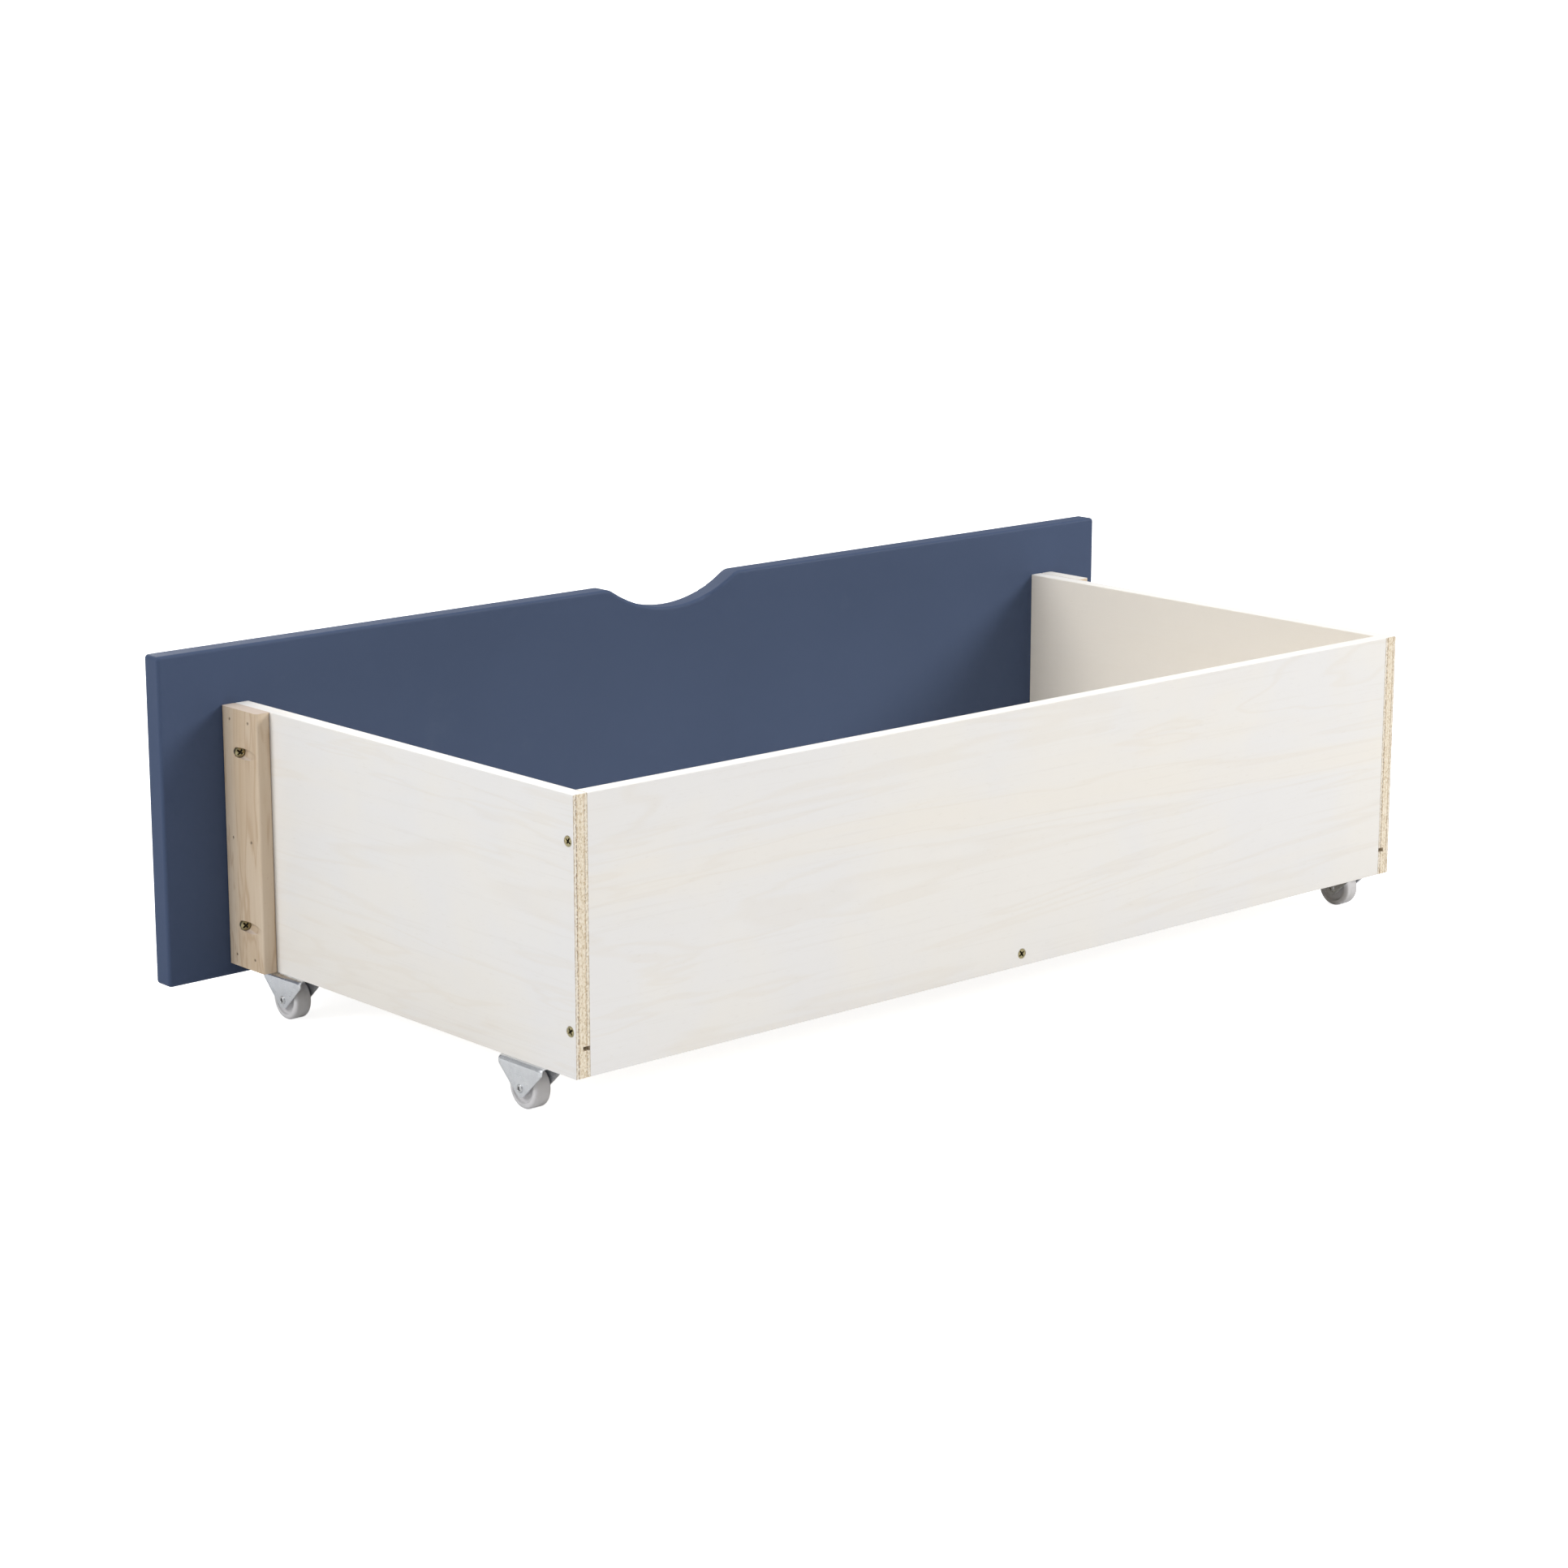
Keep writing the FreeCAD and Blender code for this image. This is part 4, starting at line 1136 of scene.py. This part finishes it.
@dataclass
class CrossScrew:
    """A wood screw with a cross recess, placed by the face or seat of its head."""

    at: Array
    way: tuple[float, float, float]
    spin: float
    head: float
    length: float
    sunk: bool
    head_height: float
    shank: float = 1.8 * MM
    arm: float = 2.9 * MM
    arm_width: float = 1.2 * MM
    depth: float = 1.7 * MM
    columns: int = 96

    def surface(self) -> tuple[Array, Array]:
        """Points of the screw on a meridian by angle grid, and the painted shade on them.

        The head's face is h(x, y) = crown(r) - depth * max(arm(x) bar(y), arm(y) bar(x)),
        where arm falls linearly to nothing at the recess's end, and bar is a smooth step
        at half its width.  The rows below it follow the head's side, shank and point.

        Returns:
            Points in the drawer's frame, and the grime from 0 to 1 at each.
        """
        top = 0.0 if self.sunk else self.head_height
        dome = 0.12 * MM if self.sunk else 0.7 * MM
        r = self.head * np.concatenate([np.linspace(0.0, 0.86, 36), [0.90, 0.94, 0.98]])
        height = top - dome * (r / self.head) ** 2
        under = -self.head_height if self.sunk else 0.0
        side = np.array([[self.head, top - dome - 0.1 * MM],
                         [self.head, top - dome - 0.3 * MM]])
        if not self.sunk:
            side = np.concatenate([side, [[self.head, under + 0.05 * MM],
                                          [self.head - 0.1 * MM, under]]])
        rest = np.array([[self.shank, under], [self.shank, -self.length + 4 * MM],
                         [0.6 * MM, -self.length + 1.2 * MM], [0.0, -self.length]])
        outline = np.concatenate([np.stack([r, height], axis=1), side, rest])
        points = turned_about(outline, self.columns)
        face = points[:r.size]
        x, y = np.abs(face[..., 0]), np.abs(face[..., 1])
        reach = np.maximum(
            np.clip(1.0 - x / self.arm, 0.0, 1.0) ** 0.55 * self._bar(y),
            np.clip(1.0 - y / self.arm, 0.0, 1.0) ** 0.55 * self._bar(x))
        face[..., 2] -= self.depth * reach
        grime = np.zeros(points.shape[:2])
        # painted shade: the cross recess is darkened, and a painted shadow rings the head's
        # rim
        rim = 0.45 * (r / self.head > 0.95)[:, None]
        grime[:r.size] = np.maximum(np.clip(3.0 * reach - 0.3, 0.0, 0.95), rim)
        frame = basis_for([-part for part in self.way], self.spin)
        return points @ frame + self.at, grime

    def _bar(self, across: Array) -> Array:
        """Smooth step that is 1 inside the arm's width and 0 outside it."""
        return eased((self.arm_width / 2.0 + 0.20 * MM - across) / (0.40 * MM))


@dataclass
class ScrewSets:
    """The three kinds of screws, each kind one piece of separate screws."""

    finish: Material
    inset: float = 32 * MM
    ply: float = 12 * MM
    cleat: float = 12 * MM
    pocket_angle: float = math.radians(15.0)
    pocket_reach: float = 27 * MM
    pocket_seat: float = 16.5 * MM
    caster_reach: float = 17 * MM

    def build(self) -> list[Piece]:
        """Make the three sets and hang them on the drawer.

        Returns:
            The three pieces.
        """
        sets = {"panel_screws": self._panel(), "pocket_screws": self._pocket(),
                "caster_screws": self._caster()}
        return [self._piece(node, screws) for node, screws in sets.items()]

    def _piece(self, node: str, screws: list[CrossScrew]) -> Piece:
        """Join one kind of screws into a piece.

        Args:
            node: The CAD node that the piece stands for.
            screws: Its screws.

        Returns:
            The piece.
        """
        shells, grime = zip(*(screw.surface() for screw in screws))
        faces = repeated(*grime[0].shape, len(shells))
        made = make_piece(node.replace("screws", "screw_set"), np.stack(shells), faces,
                          self.finish, 38.0, np.stack(grime))
        return stand_in(made, node, "drawer")

    def _levels(self) -> tuple[float, float]:
        """Heights of the lower and upper screws, from the side panel's box."""
        low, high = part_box("side_panel_right")
        return low[2] + self.inset, high[2] - self.inset

    def _panel(self) -> list[CrossScrew]:
        """Countersunk screws through the side panels and the back panel."""
        face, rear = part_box("side_panel_right")[1][:2]
        rail_low, rail_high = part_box("centre_rail")
        places = [((hand.value * face, rear - self.ply / 2.0, level),
                   (-hand.value, 0.0, 0.0), 0.62 + 0.4 * step)
                  for hand in Hand for step, level in enumerate(self._levels())]
        places.append(((0.0, rear, (rail_low[2] + rail_high[2]) / 2.0), (0.0, -1.0, 0.0),
                       0.62))
        return [CrossScrew(np.array(spot), way, spin, 3.7 * MM, 35 * MM, True, 2.4 * MM)
                for spot, way, spin in places]

    def _pocket(self) -> list[CrossScrew]:
        """Pan-head screws in the cleats' sloping pockets."""
        (_, front, _), (side, _, _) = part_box("side_panel_right")
        inward = (self.pocket_reach - self.pocket_seat) * math.tan(self.pocket_angle)
        screws = []
        for hand in Hand:
            way = (-hand.value * math.sin(self.pocket_angle),
                   -math.cos(self.pocket_angle), 0.0)
            for step, level in enumerate(self._levels()):
                spot = np.array([hand.value * (side + self.cleat - inward),
                                 front + self.pocket_seat, level])
                screws.append(CrossScrew(spot, way, 0.70 + 0.2 * step, 3.7 * MM, 29 * MM,
                                         False, 4.2 * MM))
        return screws

    def _caster(self) -> list[CrossScrew]:
        """Pan-head screws that hold the casters, heads under the bracket's top."""
        screws = []
        for end in End:
            for hand in Hand:
                low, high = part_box(f"caster_bracket_{end.value}_{hand.label}")
                middle = [(a + b) / 2.0 for a, b in zip(low, high)]
                for step in (-1.0, 1.0):
                    spot = np.array([middle[0], middle[1] + step * self.caster_reach,
                                     high[2] - 1.2 * MM])
                    screws.append(CrossScrew(spot, (0.0, 0.0, 1.0), 0.4 + step, 3.3 * MM,
                                             15 * MM, False, 1.7 * MM, arm=1.8 * MM,
                                             depth=1.1 * MM))
        return screws


# ---- studio


@dataclass(frozen=True)
class Lamp:
    """One soft area light, aimed at the drawer."""

    name: str
    place: tuple[float, float, float]
    size: float
    power: float
    tint: tuple[float, float, float] = (1.0, 1.0, 1.0)


@dataclass(frozen=True)
class Studio:
    """White floor, white surround, soft lamps and the camera."""

    azimuth: float = 138.376
    elevation: float = 13.029
    place: tuple[float, float, float] = (1.8830, 2.0623, 0.7818)
    focal: float = 4587.0
    frame_width: int = 1932
    surround: float = 0.40
    backdrop: float = 1.0
    lamps: tuple[Lamp, ...] = (
        Lamp("key_lamp", (-4.2, 4.2, 3.1), 2.4, 272.0, (1.0, 0.988, 0.972)),
        Lamp("fill_lamp", (3.0, -0.62, 1.75), 1.4, 45.0, (0.99, 0.995, 1.0)),
        Lamp("front_lamp", (-0.8, -3.4, 1.9), 1.8, 42.0),
        Lamp("top_lamp", (0.0, 0.0, 3.2), 2.4, 34.0))

    def build(self) -> None:
        """Make the stage, the light and the camera."""
        self._camera()
        self._surround()
        for lamp in self.lamps:
            self._lamp(lamp)
        self._floor()
        bpy.context.scene.view_settings.view_transform = "Standard"

    def _camera(self) -> None:
        """Stand the camera at its place, looking along its azimuth and elevation."""
        lens = bpy.data.cameras.new("studio_camera")
        lens.sensor_width = 36.0
        lens.lens = self.focal / self.frame_width * 36.0
        lens.clip_start, lens.clip_end = 0.05, 400.0
        camera = bpy.data.objects.new("studio_camera", lens)
        camera.location = self.place
        camera.rotation_euler = (math.radians(90.0 - self.elevation), 0.0,
                                 math.radians(self.azimuth))
        bpy.context.scene.collection.objects.link(camera)
        bpy.context.scene.camera = camera

    def _surround(self) -> None:
        """Fill the world with even light, and show it as a white backdrop."""
        world = bpy.data.worlds.new("studio_white")
        bpy.context.scene.world = world
        world.use_nodes = True
        wires = Wires(world.node_tree)
        sky = world.node_tree.nodes["Background"]
        sky.inputs["Color"].default_value = (1.0, 1.0, 1.0, 1.0)
        rays = wires.add("ShaderNodeLightPath")
        wires.put(wires.maths("MULTIPLY_ADD", rays.outputs["Is Camera Ray"],
                              self.backdrop - self.surround, self.surround),
                  sky.inputs["Strength"])

    def _lamp(self, lamp: Lamp) -> None:
        """Hang one lamp and turn it to the drawer.

        Args:
            lamp: What to hang.
        """
        light = bpy.data.lights.new(lamp.name, "AREA")
        light.shape = "DISK"
        light.size = lamp.size
        light.energy = lamp.power
        light.color = lamp.tint
        made = bpy.data.objects.new(lamp.name, light)
        away = np.array(lamp.place) - np.array([0.0, 0.0, 0.12])
        across = math.hypot(away[0], away[1])
        made.location = lamp.place
        made.rotation_euler = (math.atan2(across, away[2]), 0.0,
                               math.atan2(away[0], -away[1]) if across > 1e-6 else 0.0)
        bpy.context.scene.collection.objects.link(made)

    def _floor(self) -> None:
        """Lay a wide pale floor under the wheels."""
        reach, pale, glow = 120.0, 0.80, 0.86
        points = reach * np.array([[-1, -1, 0], [1, -1, 0], [1, 1, 0], [-1, 1, 0]], float)
        made = bpy.data.materials.new("studio_floor")
        made.use_nodes = True
        wires = Wires(made.node_tree)
        shader = made.node_tree.nodes["Principled BSDF"]
        shader.inputs["Base Color"].default_value = (pale, pale, pale, 1.0)
        shader.inputs["Roughness"].default_value = 0.9
        shader.inputs["Specular IOR Level"].default_value = 0.0
        shader.inputs["Emission Color"].default_value = (1.0, 1.0, 1.0, 1.0)
        rays = wires.add("ShaderNodeLightPath")
        wires.put(wires.times(rays.outputs["Is Camera Ray"], glow),
                  shader.inputs["Emission Strength"])
        floor = make_piece("studio_floor", points, np.array([[0, 1, 2, 3]]), made)


def main() -> None:
    """Load the frame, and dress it."""
    logging.basicConfig(level=logging.INFO, format="%(name)s: %(message)s")
    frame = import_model()
    Studio().build()
    groups = GroupBook()
    wood = WoodenBox(frame["nodes"], groups)
    LOG.info("wooden box: %d nodes dressed", wood.dress())
    LOG.info("brads: %s", wood.plug_brads().name)
    zinc = PlatedSteel("bright_zinc", groups).build()
    rivet = PlatedSteel("rivet_steel", groups, (0.70, 0.71, 0.72), (0.58, 0.59, 0.60),
                        (0.22, 0.34), 200.0).build()
    nylon = MouldedNylon("moulded_nylon", groups).build()
    yellow = PlatedSteel("yellow_zinc", groups, (0.47, 0.40, 0.22), (0.37, 0.345, 0.21),
                         (0.26, 0.40), 160.0).build()
    for end in End:
        for hand in Hand:
            caster = Caster(end, hand, zinc, rivet, nylon)
            LOG.info("caster %s: %d pieces", caster.label, len(caster.build()))
    LOG.info("screws: %d sets", len(ScrewSets(yellow).build()))
    bpy.context.view_layer.update()


if __name__ == "__main__":
    main()
